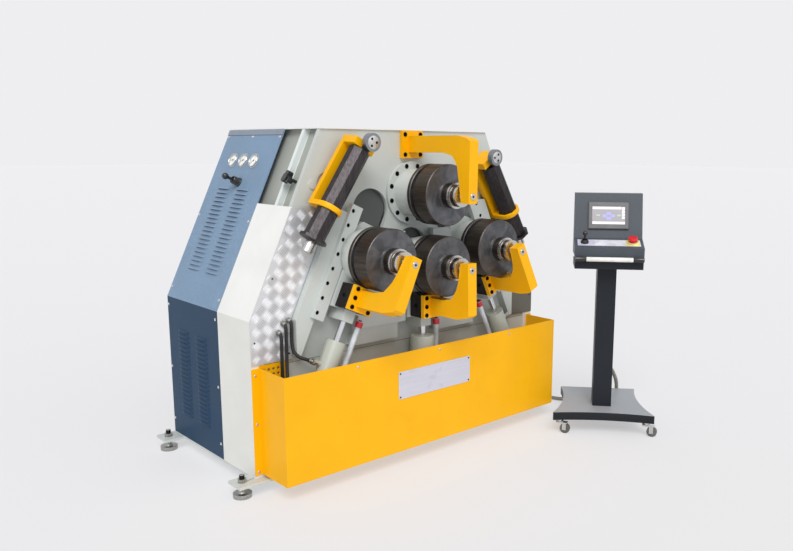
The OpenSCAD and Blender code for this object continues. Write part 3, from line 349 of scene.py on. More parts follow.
def turned_shaft():
    """Ground shaft end: bright rims on the collar and the ring as painted highlights, dull dark brown bands
    between them.
    """
    finish = brushed("turned_shaft", linear(206, 204, 200), 0.26, (1, 0.05, 1), 0.9)
    start = ORIGIN.y + SHAFT_FROM * MM
    share = finish.math("DIVIDE", finish.math("SUBTRACT", finish.along("Y"), start), SHAFT_SPAN * MM)
    # bright keeps the steel's own colour on the rims as a painted highlight; dull darkens the bands between
    # them.
    bright, dull = (1, 1, 1, 1), (0.2, 0.17, 0.15, 1)
    rims = ((-135.5, bright), (-132.5, dull), (-113.75, dull), (-112.25, bright), (-104, bright),
            (-101, dull), (-71.75, dull), (-69.5, bright))
    stops = [((y - SHAFT_FROM) / SHAFT_SPAN, tone) for y, tone in rims]
    finish.colour(finish.mix(1.0, finish.shown(), finish.ramp(share, *stops), "MULTIPLY"))
    return finish


def glowing(name, color, strength):
    """Lit patch of the console's display, with a faint pixel grain."""
    finish = Finish(name, color, 0.25)
    grain = finish.noise(1500, 1)
    lit = finish.mix(finish.ramp(grain, (0.3, 0.0), (0.7, 1.0)), color, shade(color, 0.85))
    finish.colour(lit)
    finish.link(lit, finish.shader.inputs["Emission Color"])
    finish.set("Emission Strength", strength)
    return finish


CREAM = linear(203, 209, 206)
WHITE = linear(232, 232, 227)
YELLOW = linear(255, 186, 0)
COAT, COAT_GRAIN = linear(48, 56, 68), linear(84, 94, 108)
SEAM_Z, SEAM_HALF = 0.518, 0.0012  # joint line of the front plate, in metres
FOLD_M = FOLD_Z * MM
# Above the fold the white end covers are painted lighter: painted light on their sloped faces.
PLAIN, SLOPE_PAINTED_LIGHT = (1, 1, 1, 1), (1.12, 1.125, 1.15, 1)
# Cabinet panels: below the fold a darker, more teal tone; above it the sloped panels are painted far lighter
# as painted light from above.
PANEL_LOW_TONE, PANEL_SLOPE_PAINTED_LIGHT = (0.3, 0.76, 1.15, 1), (4.3, 4.85, 4.95, 1)
RIB_Y = 308, 332  # the rib lies between these, with a web before and behind it
# Painted shade darkens the recess webs before and behind the rib; a painted highlight lightens the rib.
WEB_PAINTED_SHADE, RIB_PAINTED_HIGHLIGHT, REAR_WEB_PAINTED_SHADE = (0.64, 0.63, 0.58, 1), (1.35, 1.35, 1.38, 1), (0.47, 0.46, 0.42, 1)
# The console base's pale speckled top is a painted sheen.
SHEEN_SKIN = 0.001  # depth of the base's pale top, in metres
FINISHES = {
    "cream_paint": paint("cream_paint", CREAM, 0.42),
    "white_paint": split_painted_light(paint("end_cover_white", WHITE, 0.4, dirt=0.9), "Z", FOLD_M, PLAIN, SLOPE_PAINTED_LIGHT),
    "yellow_paint": paint("yellow_paint", YELLOW, 0.45, dirt=0.7, coat=0.1),
    "dark_powder_coat": powder_coat("dark_powder_coat", COAT, COAT_GRAIN),
    "tread_aluminium": brushed("tread_aluminium", linear(188, 190, 194), 0.34, (1, 1, 1), 0.9, 0.6),
    "zinc_steel": brushed("zinc_steel", linear(176, 176, 172), 0.34),
    "instrument": moulded("instrument", linear(214, 214, 212), 0.3, coat=0.4),
    "sensor_white": moulded("sensor_white", linear(198, 204, 210), 0.34, coat=0.2),
    "hose_rubber": moulded("hose_rubber", linear(27, 27, 28), 0.55),
    "black_plastic": moulded("black_plastic", linear(24, 24, 26), 0.3, coat=0.4),
    "black_steel": brushed("black_steel", linear(62, 58, 57), 0.42, (1, 1, 0.08), 0.6),
    "roller_steel": brushed("roller_steel", linear(150, 154, 160), 0.35),
    "shaft_steel": turned_shaft(),
    "roll_steel": roll_steel("roll_steel", "top_roll"),
    "rod_chrome": brushed("rod_chrome", linear(214, 216, 220), 0.12, (1, 1, 0.05), 0.92),
    "handle_white": moulded("handle_white", linear(224, 224, 220), 0.28, coat=0.3),
    "cable_grey": moulded("cable_grey", linear(126, 124, 118), 0.5),
    "stop_red": moulded("stop_red", linear(206, 22, 30), 0.3, coat=0.4),
    "castor_black": moulded("castor_grey", linear(86, 87, 86), 0.45),
}
FINISHES["yellow_paint"].set("Specular IOR Level", 0.2)
GUIDE_STEEL = brushed("guide_steel", linear(80, 76, 78), 0.42, (1, 1, 0.08), 0.55)
CABINET = powder_coat("cabinet_coat", COAT, COAT_GRAIN)
CABINET.set("Specular IOR Level", 0.15)
# Painted light lightens the cabinet's sloped panels above the fold; below it the coat turns darker and more
# teal.
split_painted_light(CABINET, "Z", FOLD_M, PANEL_LOW_TONE, PANEL_SLOPE_PAINTED_LIGHT)
HEAD_COAT = powder_coat("head_coat", linear(62, 68, 76), linear(98, 104, 112))
COLUMN_COAT = powder_coat("column_coat", linear(18, 22, 28), linear(38, 44, 54))
REAR_COAT = powder_coat("rear_coat", linear(36, 46, 62), linear(64, 78, 98))
LIP_COAT = powder_coat("lip_coat", linear(108, 118, 132), linear(176, 184, 194))
BASE_COAT = powder_coat("base_coat", linear(16, 20, 24), linear(36, 42, 48))
# Painted sheen: the top skin of the console base is pale and speckled, standing in for light on the coat at a
# grazing angle.
BASE_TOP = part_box("console_base")[1].z - SHEEN_SKIN
capped(BASE_COAT, "Z", BASE_TOP, linear(140, 146, 154), linear(192, 196, 202))
TREAD_PLATE = brushed("tread_plate", linear(220, 221, 224), 0.4, (1, 1, 1), 0.92, 0.4)
# The right half of the tread plates takes a darker speckled colour.
capped(TREAD_PLATE, "X", ORIGIN.x, linear(98, 95, 84), linear(112, 110, 100))
FRONT_PAINT = seamed(paint("front_plate_paint", CREAM, 0.42), SEAM_Z, shade(CREAM, 0.25))
# The slot covers' darker grey is painted shade inside the slots.
SLOT_COVER_SHADE = paint("slot_cover_shade_grey", linear(92, 97, 96), 0.5)
RIB_PAINT = paint("rib_paint", CREAM, 0.42)
# Painted shade on the webs of the recess, painted highlight on the rib between them.
split_painted_light(RIB_PAINT, "Y", ORIGIN.y + RIB_Y[0] * MM, WEB_PAINTED_SHADE, RIB_PAINTED_HIGHLIGHT)
split_painted_light(RIB_PAINT, "Y", ORIGIN.y + RIB_Y[1] * MM, PLAIN, REAR_WEB_PAINTED_SHADE)
BARREL_PAINT = paint("barrel_paint", linear(186, 190, 180), 0.4)
BOLT = brushed("blackened_bolt", linear(38, 38, 40), 0.4, (1, 1, 1), 0.6)
BRIGHT = brushed("bright_screw", linear(212, 212, 210), 0.25)
PLATE = brushed("name_plate", linear(214, 214, 226), 0.4, (0.04, 1, 1), 0.94, 0.3)
DIAL = moulded("dial_white", linear(238, 238, 234), 0.4, coat=0.5)
INK = moulded("dial_ink", linear(30, 32, 36), 0.5)
SAFETY = moulded("safety_yellow", linear(224, 212, 142), 0.35, coat=0.2)
BEZEL = moulded("bezel_grey", linear(92, 92, 96), 0.35)
CAP_RED = moulded("cap_red", linear(196, 20, 34), 0.35, coat=0.3)
STRIP = moulded("desk_strip", linear(212, 213, 222), 0.35)
LAVENDER = moulded("desk_lavender", linear(194, 194, 213), 0.35)
LIT = {
    "white": glowing("lit_white", linear(240, 240, 240), 0.5),
    "grey": glowing("lit_grey", linear(150, 146, 152), 0.45),
    "blue": glowing("lit_blue", linear(156, 155, 220), 0.5),
    "green": glowing("lit_green", linear(150, 190, 160), 0.5),
}


# CAD nodes keep their shape and take a finish, with small rounded edges where the real ones are
EDGE = {
    "yellow_paint": 2.0, "cream_paint": 1.5, "black_steel": 1.2, "dark_powder_coat": 2.0,
    "shaft_steel": 1.2, "zinc_steel": 0.8, "handle_white": 1.0, "stop_red": 4.0, "white_paint": 1.0,
}
THIN_EDGE, WELD_GAP, SOFT_ANGLE = 0.8, 0.00002, 40
THIN = {"front_tray", "cabinet_panels", "rear_panel", "frame_covers", "tread_plates"}
ROLLS = ("top_roll", "left_roll", "centre_roll", "right_roll")
OWN = {
    "front_plate": FRONT_PAINT, "left_guide_bar": GUIDE_STEEL, "right_guide_bar": GUIDE_STEEL,
    "cabinet_panels": CABINET, "tread_plates": TREAD_PLATE, "console_head": HEAD_COAT,
    "console_column": COLUMN_COAT, "console_base": BASE_COAT, "lift_cylinders": BARREL_PAINT,
    "fork_1": BRIGHT, "fork_2": BRIGHT, "fork_3": BRIGHT, "fork_4": BRIGHT,
    "rear_panel": REAR_COAT, "rib_plate": RIB_PAINT,
}


def soften(thing, width):
    """Rounds the edges of a solid by a few millimetres at most."""
    weld = thing.modifiers.new("weld", "WELD")
    weld.merge_threshold = WELD_GAP
    bevel = thing.modifiers.new("edges", "BEVEL")
    bevel.width = width * MM
    bevel.segments = 2
    bevel.limit_method = "ANGLE"
    bevel.angle_limit = math.radians(SOFT_ANGLE)
    bevel.harden_normals = True


def dress_nodes():
    for part in frame["record"]["subparts"]:
        name, slot = part["node"], part["material_slot"]
        thing = nodes[name]
        finish = OWN.get(name, FINISHES[slot])
        if name in ROLLS[1:]:
            finish = roll_steel("steel_of_" + name, name)
        thing.data.materials.clear()
        thing.data.materials.append(finish.material)
        if slot in EDGE and name not in THIN:
            soften(thing, EDGE[slot])


dress_nodes()


# Forms

class Piece:
    """Mesh of one piece, put together from several forms in millimetres."""

    def __init__(self):
        self.mesh = bmesh.new()

    def add(self, points, faces, matrix):
        whole = MACHINE @ matrix
        made = [self.mesh.verts.new(whole @ Vector(p)) for p in points]
        flip = matrix.determinant() < 0
        for face in faces:
            ring = [made[i] for i in face]
            self.mesh.faces.new(ring[::-1] if flip else ring)

    def box(self, low, high, matrix):
        corners = [(x, y, z) for z in (low[2], high[2]) for y in (low[1], high[1]) for x in (low[0], high[0])]
        faces = [(0, 2, 3, 1), (4, 5, 7, 6), (0, 1, 5, 4), (2, 6, 7, 3), (0, 4, 6, 2), (1, 3, 7, 5)]
        self.add(corners, faces, matrix)

    def prism(self, outline, low, high, matrix):
        """Outline in X and Y, counter-clockwise, raised along Z."""
        n = len(outline)
        points = [(x, y, low) for x, y in outline] + [(x, y, high) for x, y in outline]
        walls = [(i, (i + 1) % n, n + (i + 1) % n, n + i) for i in range(n)]
        self.add(points, walls + [tuple(range(n - 1, -1, -1)), tuple(range(n, 2 * n))], matrix)

    def lathe(self, profile, matrix, steps=24):
        """Turned form: rows of (radius, height), or (inner radius, height, sides) for a polygon."""
        points, rows = [], []
        for entry in profile:
            radius, height = entry[:2]
            sides = entry[2] if len(entry) > 2 else 0
            if radius == 0:
                rows.append([len(points)] * steps)
                points.append((0, 0, height))
                continue
            rows.append(list(range(len(points), len(points) + steps)))
            for k in range(steps):
                angle = 2 * math.pi * k / steps
                reach = radius
                if sides:
                    part = math.pi / sides
                    reach = radius / math.cos((angle + part) % (2 * part) - part)
                points.append((reach * math.cos(angle), reach * math.sin(angle), height))
        faces = []
        for a, b in zip(rows, rows[1:]):
            for k in range(steps):
                ring = [a[k], a[(k + 1) % steps], b[(k + 1) % steps], b[k]]
                face = [v for i, v in enumerate(ring) if v not in ring[:i]]
                if len(face) > 2:
                    faces.append(face)
        self.add(points, faces, matrix)

    def done(self, name, body, slot, finish, edge=0.0, sharp=35):
        data = bpy.data.meshes.new(name)
        bmesh.ops.recalc_face_normals(self.mesh, faces=self.mesh.faces)
        for face in self.mesh.faces:
            face.smooth = True
        for line in self.mesh.edges:
            if len(line.link_faces) == 2 and line.calc_face_angle(0) > math.radians(sharp):
                line.smooth = False
        self.mesh.to_mesh(data)
        self.mesh.free()
        thing = bpy.data.objects.new(name, data)
        bpy.context.scene.collection.objects.link(thing)
        data.materials.append(finish.material)
        if edge:
            soften(thing, edge)
        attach(thing, body)


def socket_head(r, h):
    """Cap screw with a hexagon socket, standing on Z = 0."""
    key, deep = 0.52 * r, h - 0.5 * r
    return [(0, 0), (r, 0), (r, h - 0.8), (r - 0.8, h), (key, h, 6), (key, deep, 6), (0, deep)]


def dome_head(r, h):
    """Low domed screw with a small recess."""
    crown, deep = 0.8 * h, 0.7 * h
    return [(0, 0), (r, 0), (r, 0.35 * h), (0.75 * r, crown), (0.4 * r, h), (0.3 * r, deep), (0, deep)]


# Cords: the routes repeat those of the solids

CABLE = [
    (930, -217, 300), (957, -195, 300), (995, -182, 292), (1038, -174, 274), (1079, -168, 245),
    (1117, -161, 208), (1150, -153, 168), (1176, -142, 128), (1194, -129, 90), (1203, -114, 55),
    (1204, -94, 28), (1197, -69, 14), (1181, -40, 11.5), (1157, -8, 11.5), (1129, 27, 11.5),
    (1098, 62, 11.5), (1062, 95, 11.5), (1034, 132, 11.5), (1015, 180, 11.5), (1000, 230, 11.5),
    (970, 275, 11.5), (935, 305, 22), (908, 325, 58), (887, 335, 96), (862, 340, 118), (833, 340, 120),
]
HOSES = {
    "hose_upper": [
        (-660, 189, 700), (-660, 172, 698), (-660, 165, 680), (-660, 165, 640), (-660, 163, 600),
        (-657, 155, 572), (-644, 138, 552), (-619, 121, 539), (-592, 118, 526),
    ],
    "hose_lower": [
        (-685, 189, 690), (-685, 172, 688), (-685, 165, 670), (-685, 165, 640), (-685, 165, 600),
        (-686, 164, 560), (-690, 158, 510), (-697, 145, 460), (-704, 128, 415), (-703, 120, 388),
        (-692, 118, 375), (-667, 118, 363),
    ],
    "hose_return": [
        (-708, 189, 655), (-708, 172, 653), (-708, 165, 635), (-708, 165, 600), (-708, 165, 560),
        (-708, 165, 520), (-708, 165, 480), (-708, 165, 440), (-708, 165, 400), (-708, 165, 360),
        (-708, 165, 330), (-708, 170, 312), (-708, 189, 306),
    ],
}
CABLE_R, HOSE_R, CURVE_STEPS = 10, 7, 6
FERRULE = [(0, 0), (11, 0, 6), (11, 8, 6), (9.5, 8), (9.5, 20), (8.5, 21), (0, 21)]


def smoothed(route):
    """Points of a smooth curve through the route, in metres."""
    p = [Vector(q) for q in route]
    p = [2 * p[0] - p[1]] + p + [2 * p[-1] - p[-2]]
    made = []
    for a, b, c, d in zip(p, p[1:], p[2:], p[3:]):
        for k in range(CURVE_STEPS):
            t = k / CURVE_STEPS
            bend = (2 * a - 5 * b + 4 * c - d) * t**2 + (3 * b - a - 3 * c + d) * t**3
            made.append(0.5 * (2 * b + (c - a) * t + bend))
    return [MACHINE @ q for q in made + [p[-2]]]


def cord(name, route, radius, slot):
    """Round cord along a route; gives the object and its length."""
    points = smoothed(route)
    data = bpy.data.curves.new(name, "CURVE")
    data.dimensions = "3D"
    data.bevel_depth = radius * MM
    data.bevel_resolution = 4
    data.use_fill_caps = True
    line = data.splines.new("POLY")
    line.points.add(len(points) - 1)
    for point, q in zip(line.points, points):
        point.co = (*q, 1)
    line.use_smooth = True
    data.materials.append(FINISHES[slot].material)
    thing = bpy.data.objects.new(name, data)
    bpy.context.scene.collection.objects.link(thing)
    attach(thing, "machine")
    return thing, sum((b - a).length for a, b in zip(points, points[1:]))


def make_cords():
    cable, length = cord("console_lead", CABLE, CABLE_R, "cable_grey")
    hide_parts("console_cable")
    ferrules = Piece()
    for name, route in HOSES.items():
        hose, _ = cord(name, route, HOSE_R, "hose_rubber")
        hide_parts("hydraulic_hoses")
        for end, toward in ((route[0], route[1]), (route[-1], route[-2])):
            way = (Vector(toward) - Vector(end)).to_track_quat("Z", "Y").to_matrix().to_4x4()
            ferrules.lathe(FERRULE, move(*end) @ way)
    ferrules.done("hose_ferrules", "machine", "zinc_steel", FINISHES["zinc_steel"])


make_cords()


# Fittings of the leaning ends

LOUVRES_Y, LOUVRE_W, LOUVRE_PITCH, LOUVRE_N = (570, 743), 112, 20.5, 20
VENT_LOW, VENT_HIGH = 176, 148
HOOD_RISE, HOOD_DEPTH, HOOD_LIFT, HOOD_SHARP = 13, 7, 0.4, 60
HOOD_ACROSS, HOOD_UP = 10, 4

# X of a form along the panel, Y up it, Z out of it
LOWER_FACE = Matrix(((0, 0, -1, -HALF), (-1, 0, 0, 0), (0, 1, 0, 0), (0, 0, 0, 1)))
UPPER_FACE = LEAN_END @ Matrix(((0, 0, -1, 0), (-1, 0, 0, 0), (0, 1, 0, 0), (0, 0, 0, 1)))
REAR_FACE = move(0, FRAME_D, 0) @ Matrix(((-1, 0, 0, 0), (0, 0, 1, 0), (0, 1, 0, 0), (0, 0, 0, 1)))


def hood(piece, matrix):
    """Pressed louvre over a slot: open below, running into the sheet above; Z points out."""
    points = []
    for j in range(HOOD_UP + 1):
        for i in range(HOOD_ACROSS + 1):
            s = 2 * i / HOOD_ACROSS - 1
            swell = (1 - abs(s) ** 4) * math.cos(j / HOOD_UP * math.pi / 2)
            points.append((LOUVRE_W / 2 * s, HOOD_RISE * j / HOOD_UP, HOOD_LIFT + HOOD_DEPTH * swell))
    row = HOOD_ACROSS + 1
    faces = [(j * row + i, j * row + i + 1, (j + 1) * row + i + 1, (j + 1) * row + i)
             for j in range(HOOD_UP) for i in range(HOOD_ACROSS)]
    piece.add(points, faces, matrix)


def louvres(name, face, low, columns, finish):
    """Columns of hoods on one panel, from a height upwards."""
    piece = Piece()
    for x in columns:
        for k in range(LOUVRE_N):
            hood(piece, face @ move(x, low + k * LOUVRE_PITCH, 0))
    piece.done(name, "machine", "dark_powder_coat", finish, sharp=HOOD_SHARP)


def make_louvres():
    columns = [-y - LOUVRE_W / 2 for y in LOUVRES_Y]
    for level, face, low in (("lower", LOWER_FACE, VENT_LOW), ("upper", UPPER_FACE, VENT_HIGH)):
        for side, mirror in ENDS.items():
            louvres(f"{side}_{level}_louvres", mirror @ face, low, columns, CABINET)
    louvres("rear_louvres", REAR_FACE, VENT_LOW, (-2 * LOUVRE_W, 2 * LOUVRE_W), REAR_COAT)


PANEL_SCREW, LIP_SCREW = dome_head(7, 4), dome_head(6, 3)
PANEL_EDGES, LOWER_SCREWS, UPPER_SCREWS = (480, 938), (130, 384, 679), (48, 404, 797)
TOP_SCREW, LIP_SCREW_X, LIP_SCREWS = 712, 817, (88, 290, 493)
REAR_INSET, REAR_SCREWS = 30, (100, 700, 1400)


def make_panel_screws():
    piece = Piece()
    for mirror in ENDS.values():
        for y in PANEL_EDGES:
            for z in LOWER_SCREWS:
                piece.lathe(PANEL_SCREW, mirror @ LOWER_FACE @ move(-y, z, 0))
            for along in UPPER_SCREWS:
                piece.lathe(PANEL_SCREW, mirror @ UPPER_FACE @ move(-y, along, 0))
        piece.lathe(PANEL_SCREW, mirror @ UPPER_FACE @ move(-TOP_SCREW, UPPER_SCREWS[-1], 0))
        for z in LIP_SCREWS:
            piece.lathe(LIP_SCREW, mirror @ move(-LIP_SCREW_X, LIP_Y - SHEET, z) @ FACE_FRONT)
    for s in (-1, 1):
        for z in REAR_SCREWS:
            x = s * (HALF - REAR_INSET - max(0, z - FOLD_Z) * math.tan(math.radians(LEAN)))
            piece.lathe(PANEL_SCREW, REAR_FACE @ move(x, z, 0))
    piece.done("panel_screws", "machine", "zinc_steel", BRIGHT)


GAUGES_Y, GAUGE_ALONG, GAUGE_R, GAUGE_FACE, DIAL_T = (620, 714, 808), 681, 31.5, 4, 0.5
TICKS, TICK_STEP, FIRST_TICK, TICK_END, TICK_T = 25, 11.25, 225, 0.82, 0.3
LONG_TICK, SHORT_TICK, LONG_EVERY = (0.62, 0.7), (0.7, 0.35), 4  # inner end as a share, half width
NEEDLE_AT, NEEDLE_STEP, NEEDLE_REACH, NEEDLE_Z = 215, 12, 0.66, (0.6, 1.2)


def make_gauges():
    bezels, faces, marks = Piece(), Piece(), Piece()
    r = GAUGE_R
    rim = [(r + 3, 0), (r + 3, 2.4), (r + 0.4, 4), (r + 0.4, 7.6), (r - 1, 9.2), (r - 3, 9.6),
           (r - 4.2, 8.4), (r - 4.2, 4.4)]
    high, tip = GAUGE_FACE + DIAL_T, NEEDLE_REACH * r
    for index, y in enumerate(GAUGES_Y):
        seat = UPPER_FACE @ move(-y, GAUGE_ALONG, 0)
        bezels.lathe(rim, seat, 48)
        faces.lathe([(0, GAUGE_FACE), (r - 4, GAUGE_FACE), (r - 4, high), (0, high)], seat, 40)
        dial = seat @ move(0, 0, high)
        for k in range(TICKS):
            inner, wide = SHORT_TICK if k % LONG_EVERY else LONG_TICK
            tick = dial @ turn("Z", FIRST_TICK - k * TICK_STEP)
            marks.box((inner * r, -wide, 0), (TICK_END * r, wide, TICK_T), tick)
        needle = dial @ turn("Z", NEEDLE_AT - NEEDLE_STEP * index)
        marks.prism([(-7, -1.2), (tip, -0.3), (tip, 0.3), (-7, 1.2)], *NEEDLE_Z, needle)
        marks.lathe([(3, 0), (3, 1.6), (2, 2), (0, 2)], dial)
    bezels.done("gauge_bezels", "machine", "instrument", BRIGHT)
    faces.done("gauge_faces", "machine", "instrument", DIAL)
    marks.done("gauge_marks", "machine", "instrument", INK)


LEVER_Y, LEVER_ALONG = 687, 576
BOOT_RIBS, BOOT_PITCH = 4, 6.5


def make_lever_boot():
    """Ribbed boot over the lever's yoke, open where the lever comes out."""
    piece = Piece()
    rows = [(23, 0), (23, 3), (21, 5)]
    for k in range(BOOT_RIBS):
        rows += [(19, 6 + BOOT_PITCH * k), (17.6, 9 + BOOT_PITCH * k)]
    rows += [(18.4, 32), (16.5, 34.4), (13.6, 34.8), (13.2, 33)]
    piece.lathe(rows, UPPER_FACE @ move(-LEVER_Y, LEVER_ALONG, 0), 40)
    piece.done("lever_boot", "machine", "black_plastic", FINISHES["black_plastic"])


LIP_ALONG, LIP_RISE, LIP_INSET = (806, 832), (0.2, 3.2), 1


def make_panel_lips():
    piece = Piece()
    low = LIP_INSET - FRAME_D, LIP_ALONG[0], LIP_RISE[0]
    high = -CAB_Y - LIP_INSET, LIP_ALONG[1], LIP_RISE[1]
    for mirror in ENDS.values():
        piece.box(low, high, mirror @ UPPER_FACE)
    piece.done("panel_lips", "machine", "dark_powder_coat", LIP_COAT, edge=THIN_EDGE)


make_louvres()
make_panel_screws()
make_gauges()
make_lever_boot()
make_panel_lips()


# Tread plate relief: groups of five bars, turned by a quarter from cell to cell

TREAD = [(-833, 534), (-833, 715), (-627.8, 1155), (-433.8, 1155), (-646, 700), (-646, 534)]
TREAD_MID, TREAD_REACH, TREAD_CELLS, TREAD_TURN = (-640, 840), (260, 340), 34, 45
TREAD_SCREW, TREAD_SCREWS = dome_head(4, 2), ((-815, 627), (-725, 877), (-480, 1135), (-660, 560))
CELL, BARS, BAR_L, BAR_W, BAR_H, BAR_EDGE, BAR_SHARP = 40, 5, 34, 3, 1.1, 2, 70


def inside(outline, x, z, margin):
    """True where a point lies in a simple outline and off its edges."""
    hit = False
    for (x0, z0), (x1, z1) in zip(outline, outline[1:] + outline[:1]):
        if (z0 > z) != (z1 > z) and x < x0 + (z - z0) / (z1 - z0) * (x1 - x0):
            hit = not hit
        run = Vector((x1 - x0, z1 - z0))
        t = max(0, min(1, Vector((x - x0, z - z0)).dot(run) / run.length_squared))
        if (Vector((x0, z0)) + t * run - Vector((x, z))).length < margin:
            return False
    return hit


def tread_bar(piece, matrix):
    l, w = BAR_L / 2, BAR_W / 2
    points = [(-l, 0, 0), (-l / 2, -w, 0), (l / 2, -w, 0), (l, 0, 0), (l / 2, w, 0), (-l / 2, w, 0),
              (-l * 0.6, 0, BAR_H), (l * 0.6, 0, BAR_H)]
    faces = [(0, 1, 6), (1, 2, 7, 6), (2, 3, 7), (3, 4, 7), (4, 5, 6, 7), (5, 0, 6)]
    piece.add(points, faces, matrix)


def make_tread():
    piece = Piece()
    face = move(0, LIP_Y - SHEET, 0) @ FACE_FRONT
    rows = range(-TREAD_CELLS, TREAD_CELLS + 1)
    for i in rows:
        for j in rows:
            middle = turn("Z", TREAD_TURN) @ Vector((i * CELL, j * CELL, 0))
            if abs(middle.x) > TREAD_REACH[0] or abs(middle.y) > TREAD_REACH[1]:
                continue
            place = move(middle.x + TREAD_MID[0], middle.y + TREAD_MID[1], 0)
            way = turn("Z", TREAD_TURN + 90 * ((i + j) % 2))
            for k in range(BARS):
                cell = place @ way @ move(0, (k - (BARS - 1) / 2) * CELL / BARS, 0)
                ends = [cell @ Vector((s * BAR_L / 2, 0, 0)) for s in (-1, 1)]
                if all(inside(TREAD, end.x, end.y, BAR_EDGE) for end in ends):
                    tread_bar(piece, face @ cell)
    piece.done("tread_bars", "machine", "tread_aluminium", FINISHES["tread_aluminium"], sharp=BAR_SHARP)
    screws = Piece()
    for mirror in ENDS.values():
        for x, z in TREAD_SCREWS:
            screws.lathe(TREAD_SCREW, mirror @ face @ move(x, z, 0))
    screws.done("tread_screws", "machine", "zinc_steel", BOLT)


make_tread()


# Screws of the slides, the bearing and the arms; a seat lies at the bottom of the screw's recess

KEEP_SEAT, RAIL_LINE, RAIL_PITCH = 136 + 11.5, 125, 64.4
RAIL_LOW, RAIL_LEN, RAIL_N, WEDGE_LOW, WEDGE_ROWS = -321, 505, 8, 623, 6
BEARING_SEAT, BEARING_PCD, BEARING_N, BEARING_START = 185 + 11.5, 122, 12, 15
TOP_FLANGE_SEAT, TOP_FLANGE_Z = 180 + 8.5, 1408
ARM_PX, ARM_PZ, FLANGE_SEAT, FLANGE_MID = 44, 39, 35 + 8.5, -187.5
BLOCK_HALF, BLOCK_Y = 60, 92
ARM_FRONT, TIP_WASHER, WASHER_T, TIP_BOLT = -207, 14.5, 3.2, 4.6
KEEPER_SCREW, BEARING_SCREW = socket_head(8.3, 9), socket_head(10.4, 13)
ARM_SCREW, BLOCK_SCREW = socket_head(9.4, 12), socket_head(11, 1.8)


def make_keeper_screws():
    piece = Piece()
    top = RAIL_LOW + (RAIL_LEN + (RAIL_N - 1) * RAIL_PITCH) / 2
    places = [SLIDE["left"] @ move(-RAIL_LINE, 0, top - k * RAIL_PITCH) for k in range(RAIL_N)]
    places += [move(-RAIL_LINE, 0, WEDGE_LOW + (k + 0.5) * RAIL_PITCH) for k in range(WEDGE_ROWS)]
    second = RAIL_LOW / 2 - RAIL_PITCH
    places += [SLIDE["left"] @ move(RAIL_LINE, 0, second + k * RAIL_PITCH) for k in range(WEDGE_ROWS - 2)]
    for mirror in ENDS.values():
        for place in places:
            piece.lathe(KEEPER_SCREW, mirror @ place @ move(0, KEEP_SEAT, 0) @ FACE_FRONT)
    for k in range(BEARING_N):
        spoke = move(0, 0, TOP_Z) @ turn("Y", BEARING_START + k * 360 / BEARING_N)
        piece.lathe(BEARING_SCREW, spoke @ move(BEARING_PCD, BEARING_SEAT, 0) @ FACE_FRONT)
    for s in (-1, 1):
        for k in (-1, 1):
            seat = move(s * ARM_PX, TOP_FLANGE_SEAT, TOP_FLANGE_Z + k * ARM_PX)
            piece.lathe(ARM_SCREW, seat @ FACE_FRONT)
    piece.done("frame_screws", "machine", "black_steel", BOLT)


def tip_bolt(bolts, washers, frame_of):
    """Washer and screw on the outer end of an arm."""
    seat = frame_of @ move(0, ARM_FRONT, 0) @ FACE_FRONT
    r, t, b = TIP_WASHER, WASHER_T, TIP_BOLT
    washers.lathe([(0, 0), (r, 0), (r, t - 0.8), (r - 0.8, t), (0.6 * r, t), (0, t)], seat, 36)
    bolts.lathe([(b, t), (b, t + 1), (b - 0.6, t + 1.4), (0, t + 1.4)], seat)


def make_arm_screws():
    for side in SIDES:
        bolts, washers = Piece(), Piece()
        for s in (-1, 1):
            for k in (-1, 0, 1):
                seat = SLIDE[side] @ move(s * ARM_PX, FLANGE_SEAT, FLANGE_MID + k * ARM_PZ)
                bolts.lathe(ARM_SCREW, seat @ FACE_FRONT)
        for s in (-1, 1):
            seat = SLIDE[side] @ move(s * BLOCK_HALF, BLOCK_Y, FLANGE_MID)
            bolts.lathe(BLOCK_SCREW, seat @ turn("Y", s * 90))
        tip_bolt(bolts, washers, SLIDE[side])
        bolts.done(side + "_arm_screws", side + "_slide", "black_steel", BOLT)
        washers.done(side + "_arm_washer", side + "_slide", "zinc_steel", BRIGHT)
    bolts, washers = Piece(), Piece()
    tip_bolt(bolts, washers, move(0, 0, TOP_Z))
    bolts.done("top_arm_screw", "machine", "black_steel", BOLT)
    washers.done("top_arm_washer", "machine", "zinc_steel", BRIGHT)


make_keeper_screws()
make_arm_screws()


# Side guides: faced discs with three screws, and a bright sleeve on each bar's lower end

GUIDE_PLACE, GUIDE_LEAN, GUIDE_TIP = (-503, 100, 1160), 32.5, 2.6
GUIDE = move(*GUIDE_PLACE) @ turn("Y", GUIDE_LEAN) @ turn("X", GUIDE_TIP)
GUIDE_DROP = {"left": 0, "right": 75}
DISC_Z, DISC_FRONT, DISC_FACE_R, DISC_FACE_T = 304.5, -65, 27, 1.5
DISC_SCREWS, DISC_SCREW_AT, DISC_SCREW_START = 3, 16, 30
SLEEVE_TOP, SLEEVE_END, SLEEVE_R, SLEEVE_SIDES, SLEEVE_SHARP = -157, -209, 20.6, 8, 30


